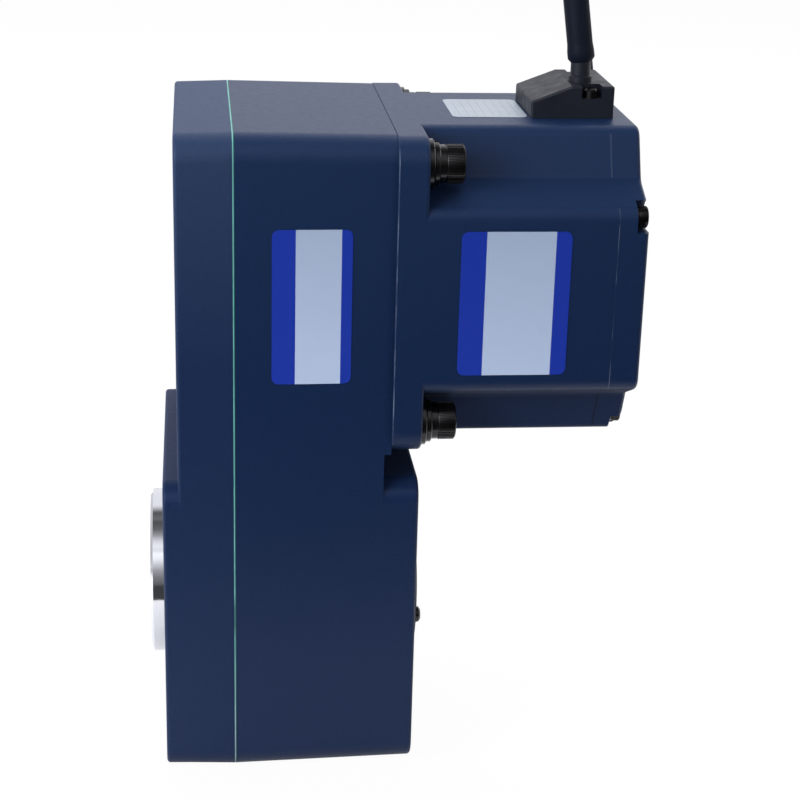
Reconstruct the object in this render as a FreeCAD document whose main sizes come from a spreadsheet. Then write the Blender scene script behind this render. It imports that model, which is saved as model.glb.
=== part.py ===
import FreeCAD, Part
import math
import os
import re
import Sketcher

# Brushless motor on a parallel-shaft gear case with a hollow output shaft.
# Frame: origin on the output bore axis at the front mounting pad, +X towards the motor, +Z up, millimetres.

V = FreeCAD.Vector
doc = FreeCAD.newDocument("brushless_gear_motor")
sheet = doc.addObject("Spreadsheet::Sheet", "dims")

DIMENSIONS = (
    # alias, size, what it drives
    ("case_half", 51.0, "half width of the gear case at the gasket"),
    ("case_top", 167.3, "top of the gear case"),
    ("case_bottom", -53.5, "bottom of the gear case"),
    ("case_corner", 8.2, "radius of the long case edges"),
    ("pad_corner", 7.0, "radius of the upper corners of both pads"),
    ("front_round", 1.2, "radius of the front and rear pad edges"),
    ("cover_draft", 1.55, "draft of the front cover, degrees"),
    ("case_draft", 0.8, "draft of the rear case, degrees"),
    ("wall", 4.0, "case wall"),
    ("pad_top", 52.2, "top edge of the front mounting pad"),
    ("pad_step", 5.0, "height of the front mounting pad"),
    ("cover_floor", 10.0, "inner face of the front cover wall"),
    ("gasket_x", 23.1, "joint plane of the front cover"),
    ("gasket_t", 0.6, "gasket thickness"),
    ("rear_wall_x", 64.0, "inner face of the rear wall"),
    ("rear_face_x", 72.0, "recessed band of the rear face"),
    ("seat_x", 74.3, "motor seat"),
    ("rear_pad_x", 83.9, "rear pad face"),
    ("rear_pad_top", 52.5, "top edge of the rear pad"),
    ("band_top", 62.5, "top edge of the recessed band"),
    ("case_screw_y", 41.0, "case screws, side rows"),
    ("case_screw_low_y", 20.0, "case screws, bottom row, sideways"),
    ("case_screw_low_z", -45.5, "case screws, bottom row, height"),
    ("column_r", 6.5, "screw column radius"),
    ("column_end", 39.0, "end of the rear case screw columns"),
    ("mount_y", 38.0, "mounting holes, half spacing"),
    ("mount_hole_r", 3.4, "mounting hole, tap drill radius"),
    ("mount_depth", 16.0, "mounting hole depth"),
    ("mount_column_end", 19.5, "end of the mounting hole columns"),
    ("m_six", 6.0, "case screw thread"),
    ("counterbore_r", 5.25, "case screw counterbore radius"),
    ("case_screw_seat", 11.0, "case screw head seat"),
    ("motor_z", 114.5, "motor axis height"),
    ("second_y", -14.0, "second intermediate shaft, sideways"),
    ("second_z", 50.598, "second intermediate shaft, height"),
    ("first_y", 3.911, "first intermediate shaft, sideways"),
    ("first_z", 83.546, "first intermediate shaft, height"),
    ("bore_r", 15.0, "output bore radius"),
    ("hollow_r", 22.5, "hollow shaft radius"),
    ("hollow_front", -4.5, "front end of the hollow shaft"),
    ("hollow_rear", 82.5, "rear end of the hollow shaft"),
    ("hollow_rear_r", 20.0, "rear journal radius of the hollow shaft"),
    ("keyway_half", 4.0, "half width of the bore keyway"),
    ("keyway_top", 18.3, "keyway depth from the bore axis"),
    ("spigot_r", 29.0, "spigot ring outer radius"),
    ("spigot_inner_r", 26.0, "spigot ring inner radius"),
    ("spigot_height", 5.0, "spigot ring height above the pad"),
    ("spigot_seat_r", 28.5, "spigot ring radius inside the cover"),
    ("big_bearing_r", 34.0, "output bearing outer radius"),
    ("big_bearing_w", 12.0, "output bearing width"),
    ("big_front_x", 7.0, "front output bearing"),
    ("big_rear_x", 64.5, "rear output bearing"),
    ("small_bearing_r", 12.0, "intermediate bearing outer radius"),
    ("small_bore_r", 6.0, "intermediate bearing bore radius"),
    ("small_bearing_w", 6.0, "intermediate bearing width"),
    ("small_front_x", 12.0, "front intermediate bearings"),
    ("small_rear_x", 64.5, "rear intermediate bearings"),
    ("rim_gap", 0.3, "gap between a bearing shield and its inner ring"),
    ("seal_seat_r", 23.5, "rear oil seal outer radius"),
    ("seal_depth", 3.7, "rear oil seal depth"),
    ("third_front", 21.0, "output gear, front face"),
    ("third_rear", 38.0, "output gear, rear face"),
    ("middle_front", 41.0, "second gear, front face"),
    ("middle_rear", 51.0, "second gear, rear face"),
    ("quick_front", 54.5, "first gear, front face"),
    ("quick_rear", 62.5, "first gear, rear face"),
    ("second_seat_r", 10.0, "bore of the second gear"),
    ("first_seat_r", 8.0, "bore of the first gear"),
    ("key_x", 23.0, "output key, front"),
    ("key_length", 13.0, "output key length"),
    ("key_half", 3.0, "half width of the output key"),
    ("key_seat", 2.5, "depth of the key in shaft and gear"),
    ("clip_t", 1.5, "retaining ring thickness"),
    ("clip_groove", 1.1, "retaining ring groove depth"),
    ("flange_half", 52.0, "half size of the motor flange"),
    ("flange_end", 84.2, "rear face of the motor flange"),
    ("bump_half", 29.5, "half width of the flat sides of the motor body"),
    ("notch", 36.5, "corner notch apex, from the motor axis"),
    ("notch_round", 4.0, "radius in the notch"),
    ("bump_round", 5.0, "radius beside the notch"),
    ("flange_round", 8.2, "radius of the flange corners"),
    ("flange_edge", 1.2, "rear edge radius of the flange"),
    ("seam", 0.4, "chamfer of the flange at the seat"),
    ("body_end", 144.6, "joint of the motor body and its end cap"),
    ("cap_end", 154.4, "rear face of the end cap"),
    ("cap_round", 1.6, "rear edge radius of the end cap"),
    ("pilot_r", 30.0, "motor pilot seat radius"),
    ("pilot_depth", 3.0, "motor pilot depth"),
    ("pinion_hole_r", 13.0, "hole in the case for the motor pinion"),
    ("pinion_seal_r", 11.0, "pinion oil seal outer radius"),
    ("pinion_seal_x", 72.0, "pinion oil seal, front"),
    ("pinion_seal_end", 77.0, "pinion oil seal, rear"),
    ("ring_groove_r", 33.0, "flange O-ring inner radius"),
    ("ring_groove_w", 2.0, "flange O-ring width"),
    ("ring_groove_t", 1.5, "flange O-ring thickness"),
    ("drive_bearing_x", 78.0, "front motor bearing"),
    ("drive_bearing_w", 11.0, "front motor bearing width"),
    ("drive_bearing_r", 17.5, "front motor bearing outer radius"),
    ("drive_bore_r", 7.5, "front motor bearing bore radius"),
    ("cap_bearing_x", 142.5, "rear motor bearing"),
    ("cap_bearing_w", 8.0, "rear motor bearing width"),
    ("cap_bearing_r", 14.0, "rear motor bearing outer radius"),
    ("cap_bore_r", 6.0, "rear motor bearing bore radius"),
    ("wave_t", 0.8, "wave washer thickness"),
    ("stack_x", 100.0, "stator stack, front"),
    ("stack_length", 32.0, "stator stack length"),
    ("air_gap_r", 27.0, "stator bore at the air gap"),
    ("slot_half", 4.2, "half width of a stator slot"),
    ("slot_low", 30.0, "stator slot, inner end"),
    ("slot_high", 41.0, "stator slot, outer end"),
    ("coil_gap", 0.3, "gap between the coils and their slot"),
    ("coil_end", 6.0, "overhang of the coils at each end"),
    ("board_x", 138.0, "hall sensor board"),
    ("board_t", 1.6, "hall sensor board thickness"),
    ("board_bore_r", 16.0, "hall sensor board bore radius"),
    ("rotor_r", 23.0, "rotor core radius"),
    ("rotor_bore_r", 8.0, "rotor core bore radius"),
    ("magnet_r", 26.4, "outer radius of the magnets"),
    ("stator_r", 45.5, "stator bore of the motor body"),
    ("stator_front", 92.0, "front wall of the stator space"),
    ("bolt_half", 42.9, "flange screw position from the motor axis"),
    ("m_eight", 8.0, "flange screw thread"),
    ("washer_t", 1.6, "flat washer thickness"),
    ("spring_t", 1.8, "spring washer thickness"),
    ("cap_screw_a", 46.3, "end cap screw, outward position"),
    ("cap_screw_b", 26.6, "end cap screw, sideways position"),
    ("pocket_b", 27.3, "end cap screw pocket, sideways position"),
    ("pocket_r", 4.7, "end cap screw pocket, half width and inner radius"),
    ("pocket_depth", 4.0, "end cap screw pocket depth"),
    ("block_front", 120.9, "cable outlet block, front"),
    ("block_rear", 148.3, "cable outlet block, rear"),
    ("block_near", -16.5, "cable outlet block, near side"),
    ("block_far", 15.3, "cable outlet block, far side"),
    ("block_low", 172.0, "cable outlet block, top of the front edge"),
    ("block_slope", 134.1, "cable outlet block, end of the slope"),
    ("block_top", 177.0, "cable outlet block, top"),
    ("block_pocket", 5.0, "screw pocket of the outlet block, sideways"),
    ("block_seat", 173.0, "screw pocket floor"),
    ("outlet_screw_x", 140.75, "outlet block screws"),
    ("outlet_x", 138.49, "lead outlet"),
    ("outlet_y", -6.46, "lead outlet, sideways"),
    ("lead_r", 4.2, "motor lead sleeve radius"),
    ("cover_disc_r", 32.5, "rear bore cover radius"),
    ("cover_disc_t", 2.6, "rear bore cover thickness"),
    ("disc_screw_y", 25.0, "rear bore cover screw, sideways"),
    ("disc_screw_z", 8.0, "rear bore cover screw, height"),
)
ALIASES = [alias for alias, number, note in DIMENSIONS]
for row, (alias, number, note) in enumerate(DIMENSIONS, 1):
    sheet.set("A%d" % row, note)
    sheet.set("B%d" % row, str(number))
    sheet.setAlias("B%d" % row, alias)
doc.recompute()


def bound(expression):
    """The expression with every driving dimension read from the sheet."""
    def word(found):
        return "dims." + found.group() if found.group() in ALIASES else found.group()
    return re.sub(r"[a-z]\w*", word, str(expression))


def size(expression):
    return float(sheet.evalExpression(bound(expression)))


def new_body(name):
    body = doc.addObject("PartDesign::Body", name)
    body.Label = name
    return body


def sketch_on(body, name, role, offset="0"):
    plane = [feature for feature in body.Origin.OriginFeatures if feature.Role == role][0]
    sketch = body.newObject("Sketcher::SketchObject", name)
    sketch.AttachmentSupport = [(plane, "")]
    sketch.MapMode = "FlatFace"
    sketch.setExpression("AttachmentOffset.Base.z", bound(offset))
    return sketch


def across(body, name, offset):
    """A sketch across the shafts: its axes are Y and Z, its normal +X."""
    return sketch_on(body, name, "YZ_Plane", offset)


def hold(sketch, kind, geometry, point, expression):
    index = sketch.addConstraint(Sketcher.Constraint(kind, -1, 1, geometry, point, size(expression)))
    sketch.setExpression("Constraints[%d]" % index, bound(expression))


def add_polygon(sketch, corners):
    points = [V(size(u), size(v), 0) for u, v in corners]
    count = len(points)
    first = sketch.GeometryCount
    for k in range(count):
        sketch.addGeometry(Part.LineSegment(points[k], points[(k + 1) % count]), False)
    for k in range(count):
        sketch.addConstraint(Sketcher.Constraint("Coincident", first + k, 2, first + (k + 1) % count, 1))
    for k, (u, v) in enumerate(corners):
        hold(sketch, "DistanceX", first + k, 1, u)
        hold(sketch, "DistanceY", first + k, 1, v)


def add_rectangle(sketch, u0, u1, v0, v1):
    add_polygon(sketch, [(u0, v0), (u1, v0), (u1, v1), (u0, v1)])


def add_rounded(sketch, half, low, high, low_r, high_r):
    """A rectangle about the vertical axis with rounded corners, drawn anticlockwise from the lower left."""
    corners = [("-(%s)" % half, low, low_r, 1, 1), (half, low, low_r, -1, 1),
               (half, high, high_r, -1, -1), ("-(%s)" % half, high, high_r, 1, -1)]
    ends = []
    for k, (u, v, radius, du, dv) in enumerate(corners):
        centre = V(size(u) + du * size(radius), size(v) + dv * size(radius), 0)
        arc = Part.ArcOfCircle(Part.Circle(centre, V(0, 0, 1), size(radius)),
                               math.pi + k * math.pi / 2, 1.5 * math.pi + k * math.pi / 2)
        ends.append(sketch.addGeometry(arc, False))
    for k in range(4):
        start = sketch.getPoint(ends[k], 2)
        stop = sketch.getPoint(ends[(k + 1) % 4], 1)
        line = sketch.addGeometry(Part.LineSegment(start, stop), False)
        sketch.addConstraint(Sketcher.Constraint("Coincident", line, 1, ends[k], 2))
        sketch.addConstraint(Sketcher.Constraint("Coincident", line, 2, ends[(k + 1) % 4], 1))
    for k, (u, v, radius, du, dv) in enumerate(corners):
        hold(sketch, "DistanceX", ends[k], 3, "%s + %d * %s" % (u, du, radius))
        hold(sketch, "DistanceY", ends[k], 3, "%s + %d * %s" % (v, dv, radius))
        index = sketch.addConstraint(Sketcher.Constraint("Radius", ends[k], size(radius)))
        sketch.setExpression("Constraints[%d]" % index, bound(radius))


def add_circles(sketch, centres, radius):
    for u, v in centres:
        circle = Part.Circle(V(size(u), size(v), 0), V(0, 0, 1), size(radius))
        geometry = sketch.addGeometry(circle, False)
        hold(sketch, "DistanceX", geometry, 3, u)
        hold(sketch, "DistanceY", geometry, 3, v)
        index = sketch.addConstraint(Sketcher.Constraint("Radius", geometry, size(radius)))
        sketch.setExpression("Constraints[%d]" % index, bound(radius))


def volume_of(body):
    return body.Shape.Volume if body.Tip and not body.Shape.isNull() else 0.0


def extrude(body, kind, sketch, length, towards, draft=None):
    """Pads or pockets a sketch; towards is "+" or "-" along the sketch normal."""
    before = volume_of(body)
    item = body.newObject("PartDesign::" + kind, sketch.Name + "_" + kind.lower())
    item.Profile = sketch
    item.setExpression("Length", bound(length))
    item.Reversed = (towards == "+") == (kind == "Pocket")
    if draft is not None:
        item.setExpression("TaperAngle", bound(draft))
    doc.recompute()
    gained = volume_of(body) - before
    if (gained <= 0) if kind == "Pad" else (gained >= 0):
        raise RuntimeError("%s changes nothing: %.3f" % (item.Name, gained))
    return item


def pad(body, sketch, length, towards, draft=None):
    return extrude(body, "Pad", sketch, length, towards, draft)


def pocket(body, sketch, length, towards):
    return extrude(body, "Pocket", sketch, length, towards)


def pad_circles(body, name, start, centres, radius, length, towards="+"):
    sketch = across(body, name, start)
    add_circles(sketch, centres, radius)
    return pad(body, sketch, length, towards)


def bore_circles(body, name, start, centres, radius, length, towards):
    sketch = across(body, name, start)
    add_circles(sketch, centres, radius)
    return pocket(body, sketch, length, towards)


def dress(body, kind, amount, chosen):
    """Fillets or chamfers the edges of the tip that the test picks."""
    base = body.Tip
    names = ["Edge%d" % (k + 1) for k, edge in enumerate(base.Shape.Edges) if chosen(edge)]
    item = body.newObject("PartDesign::" + kind, "%s_%s%d" % (body.Name, kind.lower(), len(body.Group)))
    item.Base = (base, names)
    item.setExpression("Radius" if kind == "Fillet" else "Size", bound(amount))
    doc.recompute()
    return item


def around_x(body, feature, count):
    axis = [item for item in body.Origin.OriginFeatures if item.Role == "X_Axis"][0]
    pattern = body.newObject("PartDesign::PolarPattern", feature.Name + "_pattern")
    pattern.Originals = [feature]
    pattern.Axis = (axis, [""])
    pattern.Angle = 360
    pattern.Occurrences = count
    body.Tip = pattern
    doc.recompute()
    return pattern


def place(item, y, z):
    item.setExpression("Placement.Base.y", bound(y))
    item.setExpression("Placement.Base.z", bound(z))


def turned(name, profile, y="0", z="0"):
    """A body turned about X from a profile of (x, radius) corners."""
    body = new_body(name)
    sketch = sketch_on(body, name + "_profile", "XZ_Plane")
    add_polygon(sketch, profile)
    item = body.newObject("PartDesign::Revolution", name + "_turn")
    item.Profile = sketch
    item.ReferenceAxis = (sketch, ["H_Axis"])
    item.Angle = 360
    place(body, y, z)
    doc.recompute()
    return body


def ring(name, x0, x1, inner, outer, y="0", z="0"):
    return turned(name, [(x0, inner), (x1, inner), (x1, outer), (x0, outer)], y, z)


def group(name, items):
    item = doc.addObject("Part::Compound", name)
    item.Label = name
    item.Links = items
    doc.recompute()
    return item


def copies(name, master, spots):
    """One node of equal pieces: the master's shape moved to every (y, z)."""
    item = doc.addObject("Part::Feature", name)
    item.Label = name
    shapes = []
    for y, z in spots:
        shape = master.Shape.copy()
        shape.translate(V(0, size(y), size(z)))
        shapes.append(shape)
    item.Shape = Part.makeCompound(shapes)
    return item


def hexagon(flats):
    half = "%s / 2" % flats
    corner = "%s / 1.7320508" % flats
    side = "%s / 3.4641016" % flats
    return [(corner, "0"), (side, half), ("-" + side, half),
            ("-" + corner, "0"), ("-" + side, "-" + half), (side, "-" + half)]


def socket_screw(name, seat, head, height, thread, length, flats, sign):
    """Cap screw along X, its head on the +X side of the seat for sign "+"."""
    back = "-" if sign == "+" else "+"
    top = "%s %s %s" % (seat, sign, height)
    body = turned(name, [
        ("%s %s %s" % (seat, back, length), "0"),
        (top, "0"),
        (top, "%s / 2 - 0.6" % head),
        ("%s %s 0.6" % (top, back), "%s / 2" % head),
        (seat, "%s / 2" % head),
        (seat, "%s / 2" % thread),
        ("%s %s %s" % (seat, back, length), "%s / 2" % thread),
    ])
    socket = across(body, name + "_socket", top)
    add_polygon(socket, hexagon(flats))
    pocket(body, socket, "%s * 0.55" % height, back)
    return body


def bearing(name, x0, width, bore, outer, y, z):
    """Outer ring with its shields, and the inner ring, of a sealed bearing."""
    rim = "(%s - %s) * 0.3" % (outer, bore)
    end = "%s + %s" % (x0, width)
    shield = "%s + %s + rim_gap" % (bore, rim)
    land = "%s - %s" % (outer, rim)
    outer_ring = turned(name + "_outer", [
        (x0, outer), (end, outer), (end, land), ("%s - 0.6" % end, land), ("%s - 0.6" % end, shield),
        ("%s + 0.6" % x0, shield), ("%s + 0.6" % x0, land), (x0, land)], y, z)
    inner_ring = ring(name + "_inner", x0, end, bore, "%s + %s" % (bore, rim), y, z)
    return outer_ring, inner_ring


def gear(teeth, module, x0, x1, phase, y, z):
    """A spur gear solid with involute flanks and shortened teeth; phase is the angle of one tooth."""
    pressure = math.radians(20)
    pitch_r = module * teeth / 2
    base_r = pitch_r * math.cos(pressure)
    tip_r = pitch_r + 0.8 * module
    root_r = pitch_r - 1.05 * module
    start_r = max(base_r, root_r)
    thinned = 0.2
    pitch_half = (math.pi * module / 2 - thinned) / (2 * pitch_r)

    def half_at(radius):
        slope = math.acos(min(1.0, base_r / radius))
        return pitch_half + (math.tan(pressure) - pressure) - (math.tan(slope) - slope)

    def point(radius, angle):
        return V(x0, y + radius * math.cos(angle), z + radius * math.sin(angle))

    edges = []
    middle_r = (start_r + tip_r) / 2
    for k in range(teeth):
        centre = phase + 2 * math.pi * k / teeth
        coming = centre + 2 * math.pi / teeth - half_at(start_r)
        rise = [point(r, centre - half_at(r)) for r in (start_r, middle_r, tip_r)]
        fall = [point(r, centre + half_at(r)) for r in (tip_r, middle_r, start_r)]
        foot = point(root_r, centre + half_at(start_r))
        if root_r < start_r:
            edges.append(Part.makeLine(point(root_r, centre - half_at(start_r)), rise[0]))
        edges.append(Part.Arc(*rise).toShape())
        edges.append(Part.makeLine(rise[2], fall[0]))
        edges.append(Part.Arc(*fall).toShape())
        if root_r < start_r:
            edges.append(Part.makeLine(fall[2], foot))
        edges.append(Part.makeLine(foot, point(root_r, coming)))
    return Part.Face(Part.Wire(edges)).extrude(V(x1 - x0, 0, 0))


def meshing(phase, teeth, mate_teeth, direction):
    """Angle of a tooth of the mate, so that its gap takes the tooth of the first gear."""
    return direction + math.pi - (math.pi + teeth * (phase - direction)) / mate_teeth


def rod(x0, x1, radius, y, z):
    return Part.makeCylinder(radius, x1 - x0, V(x0, y, z), V(1, 0, 0))


def solid(name, shape):
    item = doc.addObject("Part::Feature", name)
    item.Label = name
    item.Shape = shape
    return item


def along_x(edge):
    box = edge.BoundBox
    return box.XLength > 5 and box.YLength < 2.5 and box.ZLength < 2.5


def flat_at(edge, x):
    box = edge.BoundBox
    return abs(box.XMin - x) < 0.01 and abs(box.XMax - x) < 0.01


CASE_SCREWS = [
    (sign + "case_screw_y", z) for z in ("160", "107", "60") for sign in ("-", "")
] + [("-case_screw_low_y", "case_screw_low_z"), ("case_screw_low_y", "case_screw_low_z")]
DOWELS = [("-case_screw_y", "133"), ("case_screw_y", "20")]
MOUNT_HOLES = [(a + "mount_y", b + "mount_y") for a in ("-", "") for b in ("-", "")]
MOTOR_BOLTS = [(a + "bolt_half", "motor_z %s bolt_half" % b) for a in ("-", "") for b in "-+"]
FIRST = ("first_y", "first_z")
SECOND = ("second_y", "second_z")
OUTPUT = ("0", "0")
MOTOR = ("0", "motor_z")
NODES = []

# Front cover: drafted shell with the mounting pad, bearing bosses and screw columns.
cover = new_body("front_cover")
outline = across(cover, "cover_outline", "gasket_x")
add_rectangle(outline, "-case_half", "case_half", "case_bottom", "case_top")
pad(cover, outline, "gasket_x - pad_step", "-", "-cover_draft")
dress(cover, "Fillet", "case_corner", along_x)
dress(cover, "Fillet", "front_round", lambda e: flat_at(e, size("pad_step")))
COVER_DRAWN = "(gasket_x - pad_step - 3) * tan(cover_draft)"
step = across(cover, "mounting_pad", "pad_step + 3")
add_rounded(step, "case_half - " + COVER_DRAWN, "case_bottom + " + COVER_DRAWN, "pad_top",
            "case_corner", "pad_corner")
pad(cover, step, "pad_step + 3", "-", "-cover_draft")
dress(cover, "Fillet", "front_round", lambda e: flat_at(e, 0))
hollow = across(cover, "cover_hollow", "gasket_x")
add_rectangle(hollow, "-case_half + wall", "case_half - wall", "case_bottom + wall", "case_top - wall")
pocket(cover, hollow, "gasket_x - cover_floor", "-")
pad_circles(cover, "cover_columns", "cover_floor - 1", CASE_SCREWS + DOWELS, "column_r",
            "gasket_x - cover_floor + 1")
pad_circles(cover, "mount_columns", "cover_floor - 1", MOUNT_HOLES, "8", "mount_column_end - cover_floor + 1")
pad_circles(cover, "output_boss", "cover_floor - 1", [OUTPUT], "big_bearing_r + 4",
            "big_front_x + big_bearing_w - cover_floor + 1")
pad_circles(cover, "shaft_bosses", "cover_floor - 1", [FIRST, SECOND], "small_bearing_r + 3",
            "small_front_x + small_bearing_w - cover_floor + 1.5")
bore_circles(cover, "output_seat", "big_front_x + big_bearing_w", [OUTPUT], "big_bearing_r",
             "big_bearing_w", "-")
bore_circles(cover, "shaft_seats", "small_front_x + small_bearing_w + 0.5", [FIRST, SECOND],
             "small_bearing_r", "small_bearing_w + 0.5", "-")
bore_circles(cover, "spigot_hole", "big_front_x", [OUTPUT], "spigot_seat_r", "big_front_x", "-")
bore_circles(cover, "spigot_relief", "0", [OUTPUT], "spigot_r + 0.6", "0.6", "+")
bore_circles(cover, "screw_heads", "0", CASE_SCREWS, "counterbore_r", "case_screw_seat", "+")
bore_circles(cover, "screw_holes", "0", CASE_SCREWS, "m_six / 2 + 0.3", "gasket_x", "+")
bore_circles(cover, "cover_dowels", "gasket_x", DOWELS, "3", "6.5", "-")
bore_circles(cover, "mount_holes", "0", MOUNT_HOLES, "mount_hole_r", "mount_depth", "+")
NODES.append(cover)

# Gasket: the joint outline with a disc round every screw and dowel.
gasket = new_body("case_gasket")
sheet_outline = across(gasket, "gasket_outline", "gasket_x")
add_rectangle(sheet_outline, "-case_half", "case_half", "case_bottom", "case_top")
pad(gasket, sheet_outline, "gasket_t", "+")
dress(gasket, "Fillet", "case_corner", lambda e: e.BoundBox.XLength > 0.1)
opening = across(gasket, "gasket_opening", "gasket_x")
add_rectangle(opening, "-case_half + wall", "case_half - wall", "case_bottom + wall", "case_top - wall")
pocket(gasket, opening, "gasket_t", "+")
pad_circles(gasket, "gasket_discs", "gasket_x", CASE_SCREWS + DOWELS, "column_r", "gasket_t")
bore_circles(gasket, "gasket_screws", "gasket_x", CASE_SCREWS, "m_six / 2 + 0.3", "gasket_t", "+")
bore_circles(gasket, "gasket_dowels", "gasket_x", DOWELS, "3", "gasket_t", "+")
NODES.append(gasket)

# Rear case: drafted shell with the motor seat above and the rear pad below.
JOINT = "gasket_x + gasket_t"
case = new_body("rear_case")
outline = across(case, "case_outline", JOINT)
add_rectangle(outline, "-case_half", "case_half", "case_bottom", "case_top")
pad(case, outline, "rear_pad_x - gasket_x - gasket_t", "+", "-case_draft")
dress(case, "Fillet", "case_corner", along_x)
upper = across(case, "case_upper", "rear_pad_x")
add_rectangle(upper, "-case_half - 5", "case_half + 5", "rear_pad_top", "case_top + 5")
pocket(case, upper, "rear_pad_x - seat_x", "-")
band = across(case, "case_band", "seat_x")
add_rectangle(band, "-case_half - 5", "case_half + 5", "rear_pad_top", "band_top")
pocket(case, band, "seat_x - rear_face_x", "-")
dress(case, "Fillet", "pad_corner",
      lambda e: along_x(e) and abs(e.BoundBox.ZMin - size("rear_pad_top")) < 0.1)
dress(case, "Fillet", "front_round", lambda e: flat_at(e, size("rear_pad_x")))
hollow = across(case, "case_hollow", JOINT)
add_rectangle(hollow, "-case_half + wall", "case_half - wall", "case_bottom + wall", "case_top - wall")
pocket(case, hollow, "rear_wall_x - gasket_x - gasket_t", "+")
pad_circles(case, "case_columns", JOINT, CASE_SCREWS + DOWELS, "column_r", "column_end - gasket_x - gasket_t")
blocks = across(case, "motor_columns", "rear_wall_x + 1")
for bolt_y, bolt_z in MOTOR_BOLTS:
    side = "-1" if bolt_y.startswith("-") else "1"
    add_rectangle(blocks, side + " * (bolt_half - 6.5)", side + " * (case_half - wall + 0.2)",
                  bolt_z + " - 6.4", bolt_z + " + 6.4")
pad(case, blocks, "11", "-")
bore_circles(case, "rear_output_seat", "rear_wall_x", [OUTPUT], "big_bearing_r",
             "big_rear_x + big_bearing_w - rear_wall_x", "+")
bore_circles(case, "rear_seal_seat", "big_rear_x + big_bearing_w", [OUTPUT], "seal_seat_r", "seal_depth", "+")
bore_circles(case, "rear_shaft_hole", "rear_pad_x", [OUTPUT], "hollow_rear_r + 0.6", "6", "-")
bore_circles(case, "rear_shaft_seats", "rear_wall_x", [FIRST, SECOND], "small_bearing_r",
             "small_rear_x + small_bearing_w - rear_wall_x", "+")
bore_circles(case, "pinion_hole", "seat_x", [MOTOR], "pinion_hole_r", "seat_x - rear_wall_x + 1", "-")
bore_circles(case, "pilot_seat", "seat_x", [MOTOR], "pilot_r", "pilot_depth", "-")
bore_circles(case, "case_threads", JOINT, CASE_SCREWS, "m_six / 2", "14", "+")
bore_circles(case, "case_dowels", JOINT, DOWELS, "3", "6.5", "+")
bore_circles(case, "motor_threads", "seat_x", MOTOR_BOLTS, "m_eight / 2", "16", "-")
DISC_SCREWS = [("-disc_screw_y", "-disc_screw_z"), ("disc_screw_y", "disc_screw_z")]
bore_circles(case, "disc_threads", "rear_pad_x", DISC_SCREWS, "1.5", "3", "-")
NODES.append(case)

# Case fasteners.
case_screw = socket_screw("case_screw", "case_screw_seat", "10", "6", "m_six", "25", "5", "-")
NODES.append(copies("case_screws", case_screw, CASE_SCREWS))
dowel = turned("dowel", [
    ("gasket_x - 6", "0"), ("gasket_x + 6.6", "0"), ("gasket_x + 6.6", "2.5"), ("gasket_x + 6.1", "3"),
    ("gasket_x - 5.5", "3"), ("gasket_x - 6", "2.5")])
NODES.append(copies("dowel_pins", dowel, DOWELS))

# Spigot ring and seals.
NODES.append(turned("spigot_ring", [
    ("-spigot_height", "spigot_inner_r + 0.5"), ("-spigot_height + 0.5", "spigot_inner_r"),
    ("big_front_x", "spigot_inner_r"), ("big_front_x", "spigot_seat_r"), ("-0.5", "spigot_seat_r"),
    ("-0.5", "spigot_r"),
    ("-spigot_height + 0.8", "spigot_r"), ("-spigot_height", "spigot_r - 0.8")]))
NODES.append(turned("front_oil_seal", [
    ("-3.5", "spigot_inner_r"), ("0.5", "spigot_inner_r"), ("0.5", "spigot_inner_r - 1.3"),
    ("-2.2", "spigot_inner_r - 1.3"), ("-2.2", "hollow_r + rim_gap"), ("-3.5", "hollow_r + rim_gap")]))
SEAL_X = "big_rear_x + big_bearing_w"
NODES.append(turned("rear_oil_seal", [
    (SEAL_X + " + 0.5", "seal_seat_r"), (SEAL_X + " + seal_depth", "seal_seat_r"),
    (SEAL_X + " + seal_depth", "hollow_rear_r + rim_gap"), (SEAL_X + " + 2.4", "hollow_rear_r + rim_gap"),
    (SEAL_X + " + 2.4", "seal_seat_r - 1.2"), (SEAL_X + " + 0.5", "seal_seat_r - 1.2")]))

# Bearings: outer rings stay in the case, inner rings turn with the shafts.
big_front = bearing("big_front", "big_front_x", "big_bearing_w", "hollow_r", "big_bearing_r", *OUTPUT)
big_rear = bearing("big_rear", "big_rear_x", "big_bearing_w", "hollow_r", "big_bearing_r", *OUTPUT)
NODES.append(group("output_bearing_outers", [big_front[0], big_rear[0]]))
NODES.append(group("output_bearing_inners", [big_front[1], big_rear[1]]))
small_outers = []
for shaft, centre in (("second", SECOND), ("first", FIRST)):
    sizes = ("small_bearing_w", "small_bore_r", "small_bearing_r")
    front = bearing(shaft + "_front", "small_front_x", *sizes, *centre)
    rear = bearing(shaft + "_rear", "small_rear_x", *sizes, *centre)
    small_outers += [front[0], rear[0]]
    NODES.append(group(shaft + "_bearing_inners", [front[1], rear[1]]))
NODES.append(group("shaft_bearing_outers", small_outers))

# Hollow output shaft with keyway, ring grooves and the seat of the gear key.
CLIP_FRONT = ("third_rear + 0.2", "third_rear + 0.3 + clip_t")
CLIP_REAR = ("big_rear_x - 0.3 - clip_t", "big_rear_x - 0.2")
hollow_shaft = turned("hollow_shaft", [
    ("hollow_front", "bore_r + 0.8"), ("hollow_front + 0.8", "bore_r"), ("hollow_rear - 0.8", "bore_r"),
    ("hollow_rear", "bore_r + 0.8"), ("hollow_rear", "hollow_rear_r"),
    ("big_rear_x + big_bearing_w", "hollow_rear_r"), ("big_rear_x + big_bearing_w", "hollow_r"),
    (CLIP_REAR[1], "hollow_r"), (CLIP_REAR[1], "hollow_r - clip_groove"),
    (CLIP_REAR[0], "hollow_r - clip_groove"), (CLIP_REAR[0], "hollow_r"),
    (CLIP_FRONT[1], "hollow_r"), (CLIP_FRONT[1], "hollow_r - clip_groove"),
    (CLIP_FRONT[0], "hollow_r - clip_groove"), (CLIP_FRONT[0], "hollow_r"),
    ("hollow_front + 0.8", "hollow_r"), ("hollow_front", "hollow_r - 0.8")])
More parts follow.
